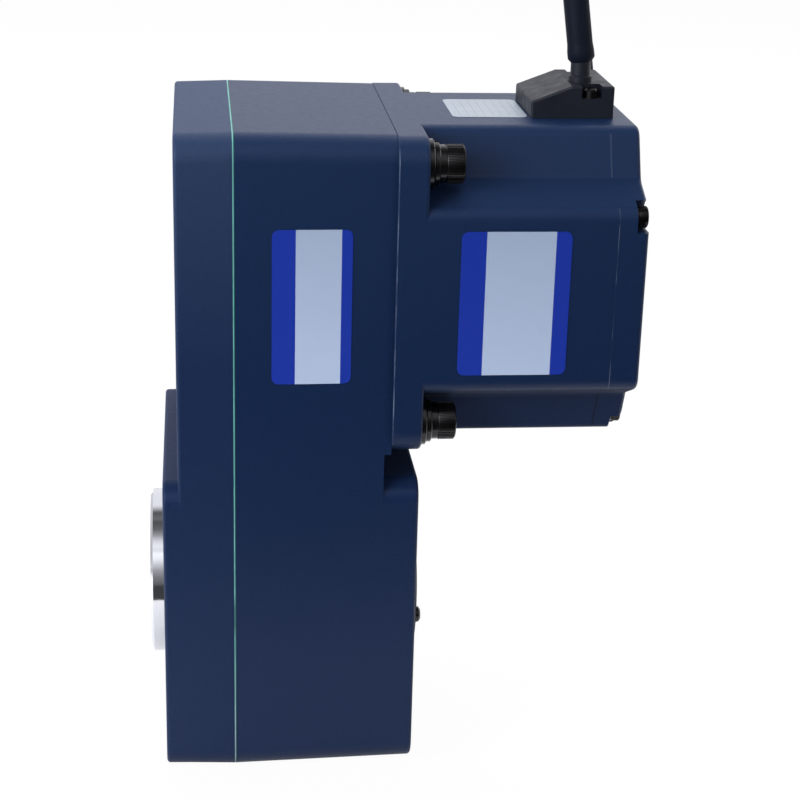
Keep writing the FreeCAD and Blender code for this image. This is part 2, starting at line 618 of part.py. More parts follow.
keyway = across(hollow_shaft, "keyway", "hollow_front")
add_rectangle(keyway, "-keyway_half", "keyway_half", "bore_r - 5", "keyway_top")
pocket(hollow_shaft, keyway, "hollow_rear - hollow_front", "+")
key_slot = across(hollow_shaft, "key_slot", "key_x")
add_rectangle(key_slot, "-key_half", "key_half", "-hollow_r - 2", "-hollow_r + key_seat")
pocket(hollow_shaft, key_slot, "key_length", "+")
NODES.append(hollow_shaft)
key = new_body("output_key")
key_outline = across(key, "key_outline", "key_x")
add_rectangle(key_outline, "-key_half", "key_half", "-hollow_r - key_seat + 0.2", "-hollow_r + key_seat")
pad(key, key_outline, "key_length", "+")
NODES.append(key)
clips = []
for name, (groove_front, groove_rear) in (("clip_front", CLIP_FRONT), ("clip_rear", CLIP_REAR)):
    front = groove_front + " + 0.05"
    clip = ring(name, front, front + " + clip_t", "hollow_r - clip_groove", "hollow_r + 2.2")
    gap = across(clip, name + "_gap", groove_front)
    add_rectangle(gap, "-3", "3", "hollow_r - 7", "hollow_r + 7")
    pocket(clip, gap, "clip_t + 1", "+")
    clips.append(clip)
NODES.append(group("output_retaining_rings", clips))

# Gear train: rotor pinion 13 on 65, second stage 15 on 45, third stage 20 on 40.
FIRST_STAGE = {"wheel": 65, "pinion": 13, "module": 0.8}
SECOND_STAGE = {"wheel": 45, "pinion": 15, "module": 1.25}
THIRD_STAGE = {"wheel": 40, "pinion": 20, "module": 1.75}
first_y, first_z = size("first_y"), size("first_z")
second_y, second_z = size("second_y"), size("second_z")
motor_z = size("motor_z")
third_direction = math.atan2(second_z, second_y)
second_direction = math.atan2(first_z - second_z, first_y - second_y)
first_direction = math.atan2(motor_z - first_z, -first_y)


def wheel(stage, front, rear, y, z):
    return gear(stage["wheel"], stage["module"], size(front), size(rear), 0.0, y, z)


def pinion(stage, front, rear, direction, y, z):
    phase = meshing(0.0, stage["wheel"], stage["pinion"], direction)
    return gear(stage["pinion"], stage["module"], size(front), size(rear), phase, y, z)


hub_front = size("third_front - 1.8")
hub_rear = size("third_rear + 1")
output_gear = wheel(THIRD_STAGE, "third_front", "third_rear", 0, 0)
output_gear = output_gear.fuse(rod(hub_front, size("third_front"), size("hollow_r + 3.5"), 0, 0))
output_gear = output_gear.cut(rod(hub_front - 0.2, hub_rear, size("hollow_r"), 0, 0))
key_low = size("-hollow_r - key_seat")
output_gear = output_gear.cut(Part.makeBox(
    hub_rear - hub_front + 0.2, size("2 * key_half"), size("2 * key_half"),
    V(hub_front - 0.2, size("-key_half"), key_low)))
NODES.append(solid("output_gear", output_gear))
second_gear = wheel(SECOND_STAGE, "middle_front", "middle_rear", second_y, second_z)
second_seat = rod(size("middle_front"), size("middle_rear"), size("second_seat_r"), second_y, second_z)
NODES.append(solid("second_gear", second_gear.cut(second_seat)))
first_gear = wheel(FIRST_STAGE, "quick_front", "quick_rear", first_y, first_z)
first_seat = rod(size("quick_front"), size("quick_rear"), size("first_seat_r"), first_y, first_z)
NODES.append(solid("first_gear", first_gear.cut(first_seat)))

SHAFT_FRONT = "small_front_x"
SHAFT_STEP = "small_front_x + small_bearing_w"
SHAFT_REAR = "small_rear_x"
SHAFT_END = "small_rear_x + small_bearing_w - 0.1"
second_turned = turned("second_turned", [
    (SHAFT_FRONT, "0"), (SHAFT_FRONT, "small_bore_r - 0.4"), (SHAFT_FRONT + " + 0.4", "small_bore_r"),
    (SHAFT_STEP, "small_bore_r"), (SHAFT_STEP, "8"), ("third_front - 1", "8"),
    ("third_front - 1", "14"), ("third_rear + 1", "14"), ("third_rear + 1", "second_seat_r + 2"),
    ("middle_front", "second_seat_r + 2"), ("middle_front", "second_seat_r"),
    ("middle_rear", "second_seat_r"), ("middle_rear", "8"), (SHAFT_REAR, "8"), (SHAFT_REAR, "small_bore_r"),
    (SHAFT_END + " - 0.4", "small_bore_r"), (SHAFT_END, "small_bore_r - 0.4"), (SHAFT_END, "0")], *SECOND)
second_pinion = solid("second_pinion", pinion(
    THIRD_STAGE, "third_front - 1", "third_rear + 1", third_direction, second_y, second_z))
first_turned = turned("first_turned", [
    (SHAFT_FRONT, "0"), (SHAFT_FRONT, "small_bore_r - 0.4"), (SHAFT_FRONT + " + 0.4", "small_bore_r"),
    (SHAFT_STEP, "small_bore_r"), (SHAFT_STEP, "7.5"), ("middle_rear + 1", "7.5"),
    ("middle_rear + 1", "first_seat_r + 1"), ("quick_front", "first_seat_r + 1"),
    ("quick_front", "first_seat_r"), ("quick_rear", "first_seat_r"), ("quick_rear", "7.5"),
    (SHAFT_REAR, "7.5"), (SHAFT_REAR, "small_bore_r"),
    (SHAFT_END + " - 0.4", "small_bore_r"), (SHAFT_END, "small_bore_r - 0.4"), (SHAFT_END, "0")], *FIRST)
first_pinion = solid("first_pinion", pinion(
    SECOND_STAGE, "middle_front - 1", "middle_rear + 1", second_direction, first_y, first_z))
DRIVE_END = "drive_bearing_x + drive_bearing_w"
CAP_JOURNAL_END = "cap_bearing_x + 7.5"
rotor_turned = turned("rotor_turned", [
    ("quick_rear + 0.5", "0"), ("quick_rear + 0.5", "4.2"), ("quick_rear + 1.5", "6"),
    ("drive_bearing_x", "6"), ("drive_bearing_x", "drive_bore_r"),
    (DRIVE_END + " + 0.2", "drive_bore_r"), (DRIVE_END + " + 0.2", "9"),
    ("stack_x - 1", "9"), ("stack_x - 1", "rotor_bore_r"),
    ("stack_x + stack_length + 1.2", "rotor_bore_r"), ("stack_x + stack_length + 1.2", "7"),
    ("cap_bearing_x", "7"), ("cap_bearing_x", "cap_bore_r"),
    (CAP_JOURNAL_END, "cap_bore_r"), (CAP_JOURNAL_END + " + 0.4", "cap_bore_r - 0.4"),
    (CAP_JOURNAL_END + " + 0.4", "0")], *MOTOR)
rotor_pinion = solid("rotor_pinion", pinion(
    FIRST_STAGE, "quick_front - 1", "quick_rear + 1", first_direction, 0, motor_z))
for name, parts in (("second_shaft", [second_turned, second_pinion]),
                    ("first_shaft", [first_turned, first_pinion]),
                    ("rotor_shaft", [rotor_turned, rotor_pinion])):
    shaft = doc.addObject("Part::MultiFuse", name)
    shaft.Label = name
    shaft.Shapes = parts
    NODES.append(shaft)
doc.recompute()

# Motor housing: square flange, body with notched corners, pilot, bearing and stator bores.
NOTCHED = [
    ("flange_half", "-bump_half"), ("flange_half", "bump_half"), ("notch", "notch"),
    ("bump_half", "flange_half"), ("-bump_half", "flange_half"), ("-notch", "notch"),
    ("-flange_half", "bump_half"), ("-flange_half", "-bump_half"), ("-notch", "-notch"),
    ("-bump_half", "-flange_half"), ("bump_half", "-flange_half"), ("notch", "-notch")]


def notch_edge(edge):
    box = edge.BoundBox
    apex = size("notch")
    return along_x(edge) and abs(abs(box.YMin) - apex) < 0.1 and abs(abs(box.ZMin) - apex) < 0.1


def bump_edge(edge):
    box = edge.BoundBox
    far = max(abs(box.YMin), abs(box.ZMin))
    near = min(abs(box.YMin), abs(box.ZMin))
    return along_x(edge) and abs(far - size("flange_half")) < 0.1 and abs(near - size("bump_half")) < 0.1


flange_block = new_body("flange_block")
flange = across(flange_block, "motor_flange", "seat_x")
add_rounded(flange, "flange_half", "-flange_half", "flange_half", "flange_round", "flange_round")
pad(flange_block, flange, "flange_end - seat_x", "+")
dress(flange_block, "Chamfer", "seam", lambda e: flat_at(e, size("seat_x")))
dress(flange_block, "Fillet", "flange_edge", lambda e: flat_at(e, size("flange_end")))
notched = new_body("notched_body")
section = across(notched, "motor_section", "flange_end - 3")
add_polygon(section, NOTCHED)
pad(notched, section, "body_end - flange_end + 3", "+")
dress(notched, "Fillet", "notch_round", notch_edge)
dress(notched, "Fillet", "bump_round", bump_edge)
joined = doc.addObject("Part::MultiFuse", "housing_blank")
joined.Shapes = [flange_block, notched]
joined.Refine = True
doc.recompute()
housing = new_body("motor_housing")
housing.BaseFeature = joined
place(housing, *MOTOR)
doc.recompute()
pad_circles(housing, "motor_pilot", "seat_x + 1", [OUTPUT], "pilot_r - 0.02", "pilot_depth + 1", "-")
bore_circles(housing, "stator_bore", "body_end", [OUTPUT], "stator_r", "body_end - stator_front", "-")
bore_circles(housing, "motor_bearing_seat", "stator_front", [OUTPUT], "drive_bearing_r",
             "stator_front - drive_bearing_x", "-")
bore_circles(housing, "motor_shaft_hole", "drive_bearing_x + 2", [OUTPUT], "9", "9", "-")
bore_circles(housing, "pinion_seal_seat", "seat_x - pilot_depth", [OUTPUT], "pinion_seal_r",
             "pinion_seal_end - seat_x + pilot_depth", "+")
groove = across(housing, "o_ring_groove", "seat_x")
add_circles(groove, [OUTPUT], "ring_groove_r")
add_circles(groove, [OUTPUT], "ring_groove_r + ring_groove_w")
pocket(housing, groove, "ring_groove_t", "+")
CORNER_BOLTS = [(a + "bolt_half", b + "bolt_half") for a in ("-", "") for b in ("-", "")]
CAP_SCREWS = [("-cap_screw_a", "cap_screw_b"), ("-cap_screw_b", "-cap_screw_a"),
              ("cap_screw_a", "-cap_screw_b"), ("cap_screw_b", "cap_screw_a")]
bore_circles(housing, "flange_holes", "seat_x", CORNER_BOLTS, "m_eight / 2 + 0.5", "flange_end - seat_x", "+")
bore_circles(housing, "cap_threads", "body_end", CAP_SCREWS, "2", "12", "-")
OUTLET_SCREWS = ["block_near + 2.4", "block_far - 2.4"]
outlet_threads = sketch_on(housing, "outlet_threads", "XY_Plane", "flange_half")
add_circles(outlet_threads, [("outlet_screw_x", y) for y in OUTLET_SCREWS], "1.5")
pocket(housing, outlet_threads, "7", "-")
NODES.append(housing)

NODES.append(ring("motor_o_ring", "seat_x", "seat_x + ring_groove_t", "ring_groove_r",
                  "ring_groove_r + ring_groove_w", *MOTOR))
NODES.append(turned("pinion_oil_seal", [
    ("pinion_seal_x", "pinion_seal_r"), ("pinion_seal_end", "pinion_seal_r"), ("pinion_seal_end", "6.3"),
    ("pinion_seal_end - 1.4", "6.3"), ("pinion_seal_end - 1.4", "pinion_seal_r - 1.4"),
    ("pinion_seal_x", "pinion_seal_r - 1.4")], *MOTOR))
front_motor = bearing(
    "motor_front", "drive_bearing_x", "drive_bearing_w", "drive_bore_r", "drive_bearing_r", *MOTOR)
rear_motor = bearing("motor_rear", "cap_bearing_x", "cap_bearing_w", "cap_bore_r", "cap_bearing_r", *MOTOR)
NODES.append(group("motor_bearing_outers", [front_motor[0], rear_motor[0]]))
NODES.append(group("rotor_bearing_inners", [front_motor[1], rear_motor[1]]))
CAP_SEAT = "cap_bearing_x + cap_bearing_w + wave_t"
NODES.append(ring("wave_washer", "cap_bearing_x + cap_bearing_w", CAP_SEAT, "cap_bearing_r - 3.5",
                  "cap_bearing_r - 0.2", *MOTOR))

# Stator and rotor.
SLOTS = 12
POLES = 8
STACK_END = "stack_x + stack_length"
stator = ring("stator_core", "stack_x", STACK_END, "air_gap_r", "stator_r", *MOTOR)
slot = across(stator, "stator_slot", "stack_x")
add_rectangle(slot, "-slot_half", "slot_half", "slot_low", "slot_high")
around_x(stator, pocket(stator, slot, "stack_length", "+"), SLOTS)
NODES.append(stator)
COIL_FRONT = "stack_x - coil_end"
COIL_INNER = "slot_low + coil_gap"
COIL_OUTER = "slot_high - coil_gap"
windings = ring("stator_windings", COIL_FRONT, "stack_x", COIL_INNER, COIL_OUTER, *MOTOR)
bar = across(windings, "winding_bar", COIL_FRONT)
add_rectangle(bar, "-slot_half + coil_gap", "slot_half - coil_gap",
              COIL_INNER + " + 0.1", COIL_OUTER + " - 0.1")
around_x(windings, pad(windings, bar, "stack_length + 2 * coil_end", "+"), SLOTS)
turn_end = across(windings, "winding_end", STACK_END)
add_circles(turn_end, [OUTPUT], COIL_INNER)
add_circles(turn_end, [OUTPUT], COIL_OUTER)
pad(windings, turn_end, "coil_end", "+")
NODES.append(windings)
NODES.append(ring("hall_board", "board_x", "board_x + board_t", "board_bore_r", "slot_high", *MOTOR))
NODES.append(ring("rotor_core", "stack_x - 1", STACK_END + " + 1", "rotor_bore_r", "rotor_r", *MOTOR))
magnets = []
for k in range(POLES):
    foot = V(size("stack_x"), 0, motor_z)
    arc = Part.makeCylinder(size("magnet_r"), size("stack_length"), foot, V(1, 0, 0), 40)
    arc = arc.cut(rod(size("stack_x - 1"), size(STACK_END + " + 2"), size("rotor_r"), 0, motor_z))
    arc.rotate(V(0, 0, motor_z), V(1, 0, 0), 360 / POLES * k)
    magnets.append(arc)
NODES.append(solid("rotor_magnets", Part.makeCompound(magnets)))

# End cap with open-sided screw pockets, and its screws.
end_cap = new_body("motor_end_cap")
place(end_cap, *MOTOR)
section = across(end_cap, "cap_section", "body_end")
add_polygon(section, NOTCHED)
pad(end_cap, section, "cap_end - body_end", "+")
dress(end_cap, "Fillet", "notch_round", notch_edge)
dress(end_cap, "Fillet", "bump_round", bump_edge)
dress(end_cap, "Fillet", "cap_round", lambda e: flat_at(e, size("cap_end")))
pad_circles(end_cap, "cap_boss", "body_end + 1", [OUTPUT], "18", "4.6", "-")
bore_circles(end_cap, "cap_seat", "body_end - 3.6", [OUTPUT], "cap_bearing_r",
             CAP_SEAT + " - body_end + 3.6", "+")
CAP_POCKETS = [("-cap_screw_a", "pocket_b"), ("-pocket_b", "-cap_screw_a"),
               ("cap_screw_a", "-pocket_b"), ("pocket_b", "cap_screw_a")]
bore_circles(end_cap, "pocket_ends", "cap_end", CAP_POCKETS, "pocket_r", "pocket_depth", "-")
OUTSIDE = "flange_half + 4"
mouths = across(end_cap, "pocket_mouths", "cap_end")
add_rectangle(mouths, "-(%s)" % OUTSIDE, "-cap_screw_a", "pocket_b - pocket_r", "pocket_b + pocket_r")
add_rectangle(mouths, "-pocket_b - pocket_r", "-pocket_b + pocket_r", "-(%s)" % OUTSIDE, "-cap_screw_a")
add_rectangle(mouths, "cap_screw_a", OUTSIDE, "-pocket_b - pocket_r", "-pocket_b + pocket_r")
add_rectangle(mouths, "pocket_b - pocket_r", "pocket_b + pocket_r", "cap_screw_a", OUTSIDE)
pocket(end_cap, mouths, "pocket_depth", "-")
bore_circles(end_cap, "cap_holes", "cap_end", CAP_SCREWS, "2.2", "cap_end - body_end", "-")
NODES.append(end_cap)
cap_screw = socket_screw("cap_screw", "cap_end - pocket_depth", "7", "4", "4", "16", "3", "+")
NODES.append(copies("end_cap_screws", cap_screw, [(y, z + " + motor_z") for y, z in CAP_SCREWS]))

# Flange screws with their washers.
WASHER_TOP = "flange_end + washer_t"
flat_washer = turned("flat_washer", [
    ("flange_end", "4.2"), (WASHER_TOP, "4.2"), (WASHER_TOP, "7.6"), (WASHER_TOP + " - 0.3", "7.9"),
    ("flange_end", "7.9")])
NODES.append(copies("flat_washers", flat_washer, MOTOR_BOLTS))
SPRING_TOP = WASHER_TOP + " + spring_t"
spring_washer = turned("spring_washer", [
    (WASHER_TOP, "4.1"), (SPRING_TOP, "4.1"), (SPRING_TOP, "6.7"), (SPRING_TOP + " - 0.3", "7"),
    (WASHER_TOP + " + 0.3", "7"), (WASHER_TOP, "6.7")])
split = across(spring_washer, "washer_split", "flange_end")
add_rectangle(split, "-0.8", "0.8", "2", "9")
pocket(spring_washer, split, "6", "+")
NODES.append(copies("spring_washers", spring_washer, MOTOR_BOLTS))
flange_screw = socket_screw("flange_screw", "(%s)" % SPRING_TOP, "12.8", "8", "m_eight", "25", "6", "+")
NODES.append(copies("motor_mount_screws", flange_screw, MOTOR_BOLTS))

# Rear bore cover and its screws.
PAN = "rear_pad_x + cover_disc_t"
disc = turned("rear_bore_cover", [
    ("rear_pad_x", "0"), (PAN, "0"), (PAN, "cover_disc_r - 0.6"), (PAN + " - 0.6", "cover_disc_r"),
    ("rear_pad_x", "cover_disc_r")])
bore_circles(disc, "disc_holes", "rear_pad_x", DISC_SCREWS, "1.6", "cover_disc_t", "+")
NODES.append(disc)
pan_screw = turned("pan_screw", [
    (PAN + " - 5.4", "0"), (PAN + " + 2.1", "0"), (PAN + " + 2.1", "1.9"), (PAN + " + 1.5", "2.7"),
    (PAN, "3"), (PAN, "1.5"), (PAN + " - 5.4", "1.5")])
cross = across(pan_screw, "pan_cross", PAN + " + 2.1")
add_polygon(cross, [
    ("0.4", "-1.6"), ("0.4", "-0.4"), ("1.6", "-0.4"), ("1.6", "0.4"), ("0.4", "0.4"), ("0.4", "1.6"),
    ("-0.4", "1.6"), ("-0.4", "0.4"), ("-1.6", "0.4"), ("-1.6", "-0.4"), ("-0.4", "-0.4"), ("-0.4", "-1.6")])
pocket(pan_screw, cross, "1.2", "-")
NODES.append(copies("bore_cover_screws", pan_screw, DISC_SCREWS))

# Cable outlet block on top of the motor; its sketch looks along -Y.
block = new_body("cable_outlet_block")
profile = sketch_on(block, "block_profile", "XZ_Plane", "-block_near")
MOTOR_TOP = "motor_z + flange_half"
add_polygon(profile, [
    ("block_front", MOTOR_TOP), ("block_rear", MOTOR_TOP), ("block_rear", "block_top"),
    ("block_slope", "block_top"), ("block_front", "block_low")])
pad(block, profile, "block_far - block_near", "-")
dress(block, "Fillet", "0.8", lambda e: e.BoundBox.ZMax > size("block_low") - 0.1)
wells = sketch_on(block, "block_wells", "XY_Plane", "block_top")
WELL = ("outlet_screw_x - 3.35", "outlet_screw_x + 3.35")
add_rectangle(wells, *WELL, "block_near - 3", "block_near + block_pocket")
add_rectangle(wells, *WELL, "block_far - block_pocket", "block_far + 3")
pocket(block, wells, "block_top - block_seat", "-")
holes = sketch_on(block, "block_holes", "XY_Plane", "block_top")
add_circles(holes, [("outlet_screw_x", y) for y in OUTLET_SCREWS], "1.6")
pocket(block, holes, "block_top - motor_z - flange_half", "-")
NODES.append(block)
UPRIGHT = FreeCAD.Rotation(V(0, 1, 0), -90)
outlet_screw = socket_screw("outlet_screw", "block_seat", "4.8", "3", "3", "12", "2.4", "+")
screws = []
for y in OUTLET_SCREWS:
    shape = outlet_screw.Shape.copy()
    shape.Placement = FreeCAD.Placement(V(size("outlet_screw_x"), size(y), 0), UPRIGHT)
    screws.append(shape)
NODES.append(solid("outlet_screws", Part.makeCompound(screws)))
relief = turned("cable_strain_relief", [
    ("block_top", "0"), ("block_top + 2", "0"), ("184.2", "0"), ("184.2", "3.3"), ("block_top + 2.2", "3.3"),
    ("block_top + 1.8", "3.8"), ("block_top", "3.8")])
relief.Placement.Rotation = UPRIGHT
relief.setExpression("Placement.Base.x", bound("outlet_x"))
relief.setExpression("Placement.Base.y", bound("outlet_y"))
relief.setExpression("Placement.Base.z", "0")
doc.recompute()
NODES.append(relief)

# Motor lead: straight runs with tangent arcs, rising from the outlet and hanging behind the motor.
LEAD_ROUTE = (
    (138.49, -6.46, 184.67), (134.81, -3.81, 212.30), (133.94, 11.01, 236.04), (136.27, 35.23, 249.89),
    (141.29, 62.78, 249.89), (147.65, 86.27, 236.04), (153.66, 99.41, 212.05), (157.69, 98.67, 184.36),
    (161.43, 94.80, 154.84), (165.66, 93.50, 125.17), (169.24, 90.37, 97.58))


def lead_path(route):
    points = [V(*spot) for spot in route]
    edges = []
    radii = []
    start = points[0]
    for before, corner, after in zip(points, points[1:], points[2:]):
        into = (corner - before).normalize()
        out = (after - corner).normalize()
        turn = into.getAngle(out)
        reach = 0.45 * min((corner - before).Length, (after - corner).Length)
        radius = reach / math.tan(turn / 2)
        radii.append(radius)
        leave = corner - into * reach
        join = corner + out * reach
        inward = (out - into).normalize()
        middle = corner + inward * (radius / math.cos(turn / 2) - radius)
        edges.append(Part.makeLine(start, leave))
        edges.append(Part.Arc(leave, middle, join).toShape())
        start = join
    edges.append(Part.makeLine(start, points[-1]))
    return Part.Wire(edges), radii


path, radii = lead_path(LEAD_ROUTE)
print("lead radii", [round(r, 1) for r in radii], "length", round(path.Length, 1))
rise = V(*LEAD_ROUTE[1]) - V(*LEAD_ROUTE[0])
section = Part.Wire(Part.makeCircle(size("lead_r"), V(*LEAD_ROUTE[0]), rise))
tube = path.makePipeShell([section], True, False)
print("lead volume", round(tube.Volume, 1), "of", round(math.pi * size("lead_r") ** 2 * path.Length, 1))
NODES.append(solid("motor_cable", tube))

# Plug at the end of the lead, built along +X and turned to the last run.
plug = new_body("cable_connector")
shell = across(plug, "plug_shell", "2")
add_rectangle(shell, "-8", "8", "-5.5", "5.5")
pad(plug, shell, "26", "+")
dress(plug, "Fillet", "1", lambda e: e.BoundBox.XLength > 20)
pad_circles(plug, "plug_neck", "3", [OUTPUT], "5", "3", "-")
rim = across(plug, "plug_rim", "7")
add_rectangle(rim, "-8.8", "8.8", "-6.3", "6.3")
pad(plug, rim, "2", "+")
latch = across(plug, "plug_latch", "12")
add_rectangle(latch, "-2.5", "2.5", "5", "7.2")
pad(plug, latch, "13", "+")
cells = across(plug, "plug_cells", "28")
for y in (-5.0, 0.0, 5.0):
    for z in (-2.4, 2.4):
        add_rectangle(cells, y - 1.6, y + 1.6, z - 1.5, z + 1.5)
pocket(plug, cells, "8", "-")
last_run = (V(*LEAD_ROUTE[-1]) - V(*LEAD_ROUTE[-2])).normalize()
plug.Placement = FreeCAD.Placement(V(*LEAD_ROUTE[-1]), FreeCAD.Rotation(V(1, 0, 0), last_run))
NODES.append(plug)

doc.recompute()
for item in doc.Objects:
    if "Invalid" in item.State or "Error" in item.State:
        raise RuntimeError("%s is %s" % (item.Name, item.State))
os.makedirs("parts", exist_ok=True)
for node in NODES:
    if node.Shape.isNull() or not node.Shape.isValid():
        raise RuntimeError(node.Name + " has no valid shape")
    node.Shape.exportStep("parts/%s.step" % node.Name)
    box = node.Shape.BoundBox
    print("%-22s %2d solids %10.1f mm3  x %7.2f %7.2f  y %7.2f %7.2f  z %7.2f %7.2f" % (
        node.Name, len(node.Shape.Solids), node.Shape.Volume,
        box.XMin, box.XMax, box.YMin, box.YMax, box.ZMin, box.ZMax))
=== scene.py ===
import math
from collections import namedtuple

import bpy
from bpy.props import FloatProperty, FloatVectorProperty, IntProperty, PointerProperty
from mathutils import Euler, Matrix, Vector


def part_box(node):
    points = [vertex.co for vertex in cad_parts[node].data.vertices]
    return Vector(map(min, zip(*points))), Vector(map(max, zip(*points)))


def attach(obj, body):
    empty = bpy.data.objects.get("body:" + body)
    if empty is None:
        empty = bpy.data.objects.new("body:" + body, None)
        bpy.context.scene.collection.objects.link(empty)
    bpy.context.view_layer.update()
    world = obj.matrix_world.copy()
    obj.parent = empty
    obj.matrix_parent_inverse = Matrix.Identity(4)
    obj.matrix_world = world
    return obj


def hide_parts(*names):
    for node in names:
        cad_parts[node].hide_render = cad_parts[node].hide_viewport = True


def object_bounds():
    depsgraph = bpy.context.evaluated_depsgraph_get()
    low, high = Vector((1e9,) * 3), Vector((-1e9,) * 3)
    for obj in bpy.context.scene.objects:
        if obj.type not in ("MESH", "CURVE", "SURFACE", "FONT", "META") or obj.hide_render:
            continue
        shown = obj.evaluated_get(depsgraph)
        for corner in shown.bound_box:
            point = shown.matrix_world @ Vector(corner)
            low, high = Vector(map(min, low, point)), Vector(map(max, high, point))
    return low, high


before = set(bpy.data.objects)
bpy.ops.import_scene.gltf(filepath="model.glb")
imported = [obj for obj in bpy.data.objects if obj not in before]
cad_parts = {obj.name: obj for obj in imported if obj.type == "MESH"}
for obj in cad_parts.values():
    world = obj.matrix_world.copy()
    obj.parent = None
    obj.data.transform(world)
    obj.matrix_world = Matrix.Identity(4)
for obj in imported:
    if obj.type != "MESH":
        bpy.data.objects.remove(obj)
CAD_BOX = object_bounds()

bl_info = {
    "name": "Brushless gear motor",
    "version": (1, 0, 0),
    "blender": (4, 5, 0),
    "location": "3D View > Sidebar > Gear motor",
    "description": "Finishes, label plates, screws, lead and studio for the packed gear motor",
    "category": "Object",
}

Hairline = namedtuple("Hairline", "place half strength")
NotchLine = namedtuple("NotchLine", "box colour strength")
Screw = namedtuple("Screw", "piece node spots towards head_r head_h shank_r flats fine")
SideLabel = namedtuple("SideLabel", "piece x z size cuts")
Lamp = namedtuple("Lamp", "name place size power mirrored")

HOUSING = "housing"
SIDES = (-1, 1)
CASE_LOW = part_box("rear_case")[0]
GASKET_LOW, GASKET_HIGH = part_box("case_gasket")
MOTOR_LOW, MOTOR_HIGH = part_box("motor_housing")
MOTOR_AXIS = (MOTOR_LOW.z + MOTOR_HIGH.z) / 2

# Paint. Its colour goes lighter up Z, which is painted light from above, and the near side is along Y. Boxes
# are (low, high) along X, Y and Z.
PAINTED_TOP_LIGHT = (0.09, 0.17)
PAINT_SPREAD = 0.12
SATIN_SPREAD = 0.02
NEAR_SIDE = (-0.0505, -0.0495)
SEAM_X = 0.0745
JOINT_X = MOTOR_HIGH.x
JOINT_HALF = 0.00028
JOINT_LINE = (JOINT_X - JOINT_HALF, JOINT_X + JOINT_HALF)
NOTCH_WIDTH = (-0.0508, 0.0508)
# In the notch and under-motor boxes the paint is made rougher and darkened towards near black; the darkening
# is painted shade.
NOTCHES = ((0.0850, 0.1538), NOTCH_WIDTH, (0.0632, 0.1520))
UNDER_MOTOR = ((0.0715, 0.0900), (-0.0495, 0.0495), (0.0460, 0.0640))
RECESS_RIM = 0.001
RECESS_SHADE_TINT = 0.2
RECESS_ROUGHNESS = 0.85
NOTCH_LINE_RIM = 0.0001
# Hairlines are pale lines on the near side: bare edges with a painted highlight along the joints.
HAIRLINES = (
    Hairline(place=JOINT_X, half=0.00012, strength=0.4),
    Hairline(place=SEAM_X, half=0.00015, strength=0.5),
)
NOTCH_LINES = (
    NotchLine((JOINT_LINE, NOTCH_WIDTH, (0.0632, 0.0800)), colour="dark_line", strength=0.85),
    NotchLine((JOINT_LINE, NOTCH_WIDTH, (0.1515, 0.1645)), colour="pale_line", strength=0.2),
)

# Gasket: the height of its dark stretch and how far that reaches, the heights between which the sheet
# turns grey, and the width over which its rear edge darkens.
GASKET_DARK_Z = 0.0055
GASKET_DARK_REACH = (0.003, 0.009)
GASKET_GREY = (-0.045, -0.005)
GASKET_RIM = 0.0001

# Textures: the range that holds most values of a noise, the period of a wave of scale 1, and the pitch of
# the stacked sheets.
NOISE_SPAN = (0.3, 0.7)
WAVE_PERIOD = 0.314
SHEET_PITCH = 0.0005

# Control points of the lead, from the outlet over to its plug.
LEAD_ROUTE = (
    (0.13849, -0.00646, 0.18467), (0.13481, -0.00381, 0.21230), (0.13394, 0.01101, 0.23604),
    (0.13627, 0.03523, 0.24989), (0.14129, 0.06278, 0.24989), (0.14765, 0.08627, 0.23604),
    (0.15366, 0.09941, 0.21205), (0.15769, 0.09867, 0.18436), (0.16143, 0.09480, 0.15484),
    (0.16566, 0.09350, 0.12517), (0.16924, 0.09037, 0.09758))
SLEEVE_SMOOTH = math.radians(50)

# Socket screws. Spots are (y, z), towards is the head's side of its seat, flats is the width of the socket,
# and fine is the size of the knurl beside that of a flange screw. The gap keeps a shank inside its CAD node.
KNURL_EDGE = 0.00006
SHANK_GAP = 0.0002
SCREW_SMOOTH = math.radians(32)
FLANGE_OUT = 0.0429
FLANGE_SPOTS = [(a * FLANGE_OUT, MOTOR_AXIS + b * FLANGE_OUT) for a in SIDES for b in SIDES]
CAP_OUT = 0.0463
CAP_SIDE = 0.0266
CAP_SPOTS = [
    (-CAP_OUT, MOTOR_AXIS + CAP_SIDE), (-CAP_SIDE, MOTOR_AXIS - CAP_OUT),
    (CAP_OUT, MOTOR_AXIS - CAP_SIDE), (CAP_SIDE, MOTOR_AXIS + CAP_OUT)]
COVER_SIDE = 0.041
COVER_ROWS = (0.160, 0.107, 0.060)
BASE_SIDE = 0.020
BASE_ROW = -0.0455
COVER_SPOTS = [(a * COVER_SIDE, z) for z in COVER_ROWS for a in SIDES]
COVER_SPOTS += [(a * BASE_SIDE, BASE_ROW) for a in SIDES]
SCREWS = (
    Screw("flange_screws", "motor_mount_screws", FLANGE_SPOTS, towards=1,
          head_r=0.0062, head_h=0.0080, shank_r=0.004, flats=0.006, fine=1.0),
    Screw("cap_screws", "end_cap_screws", CAP_SPOTS, towards=1,
          head_r=0.0035, head_h=0.0040, shank_r=0.002, flats=0.003, fine=0.7),
    Screw("cover_screws", "case_screws", COVER_SPOTS, towards=-1,
          head_r=0.0050, head_h=0.0060, shank_r=0.003, flats=0.005, fine=0.8),
)

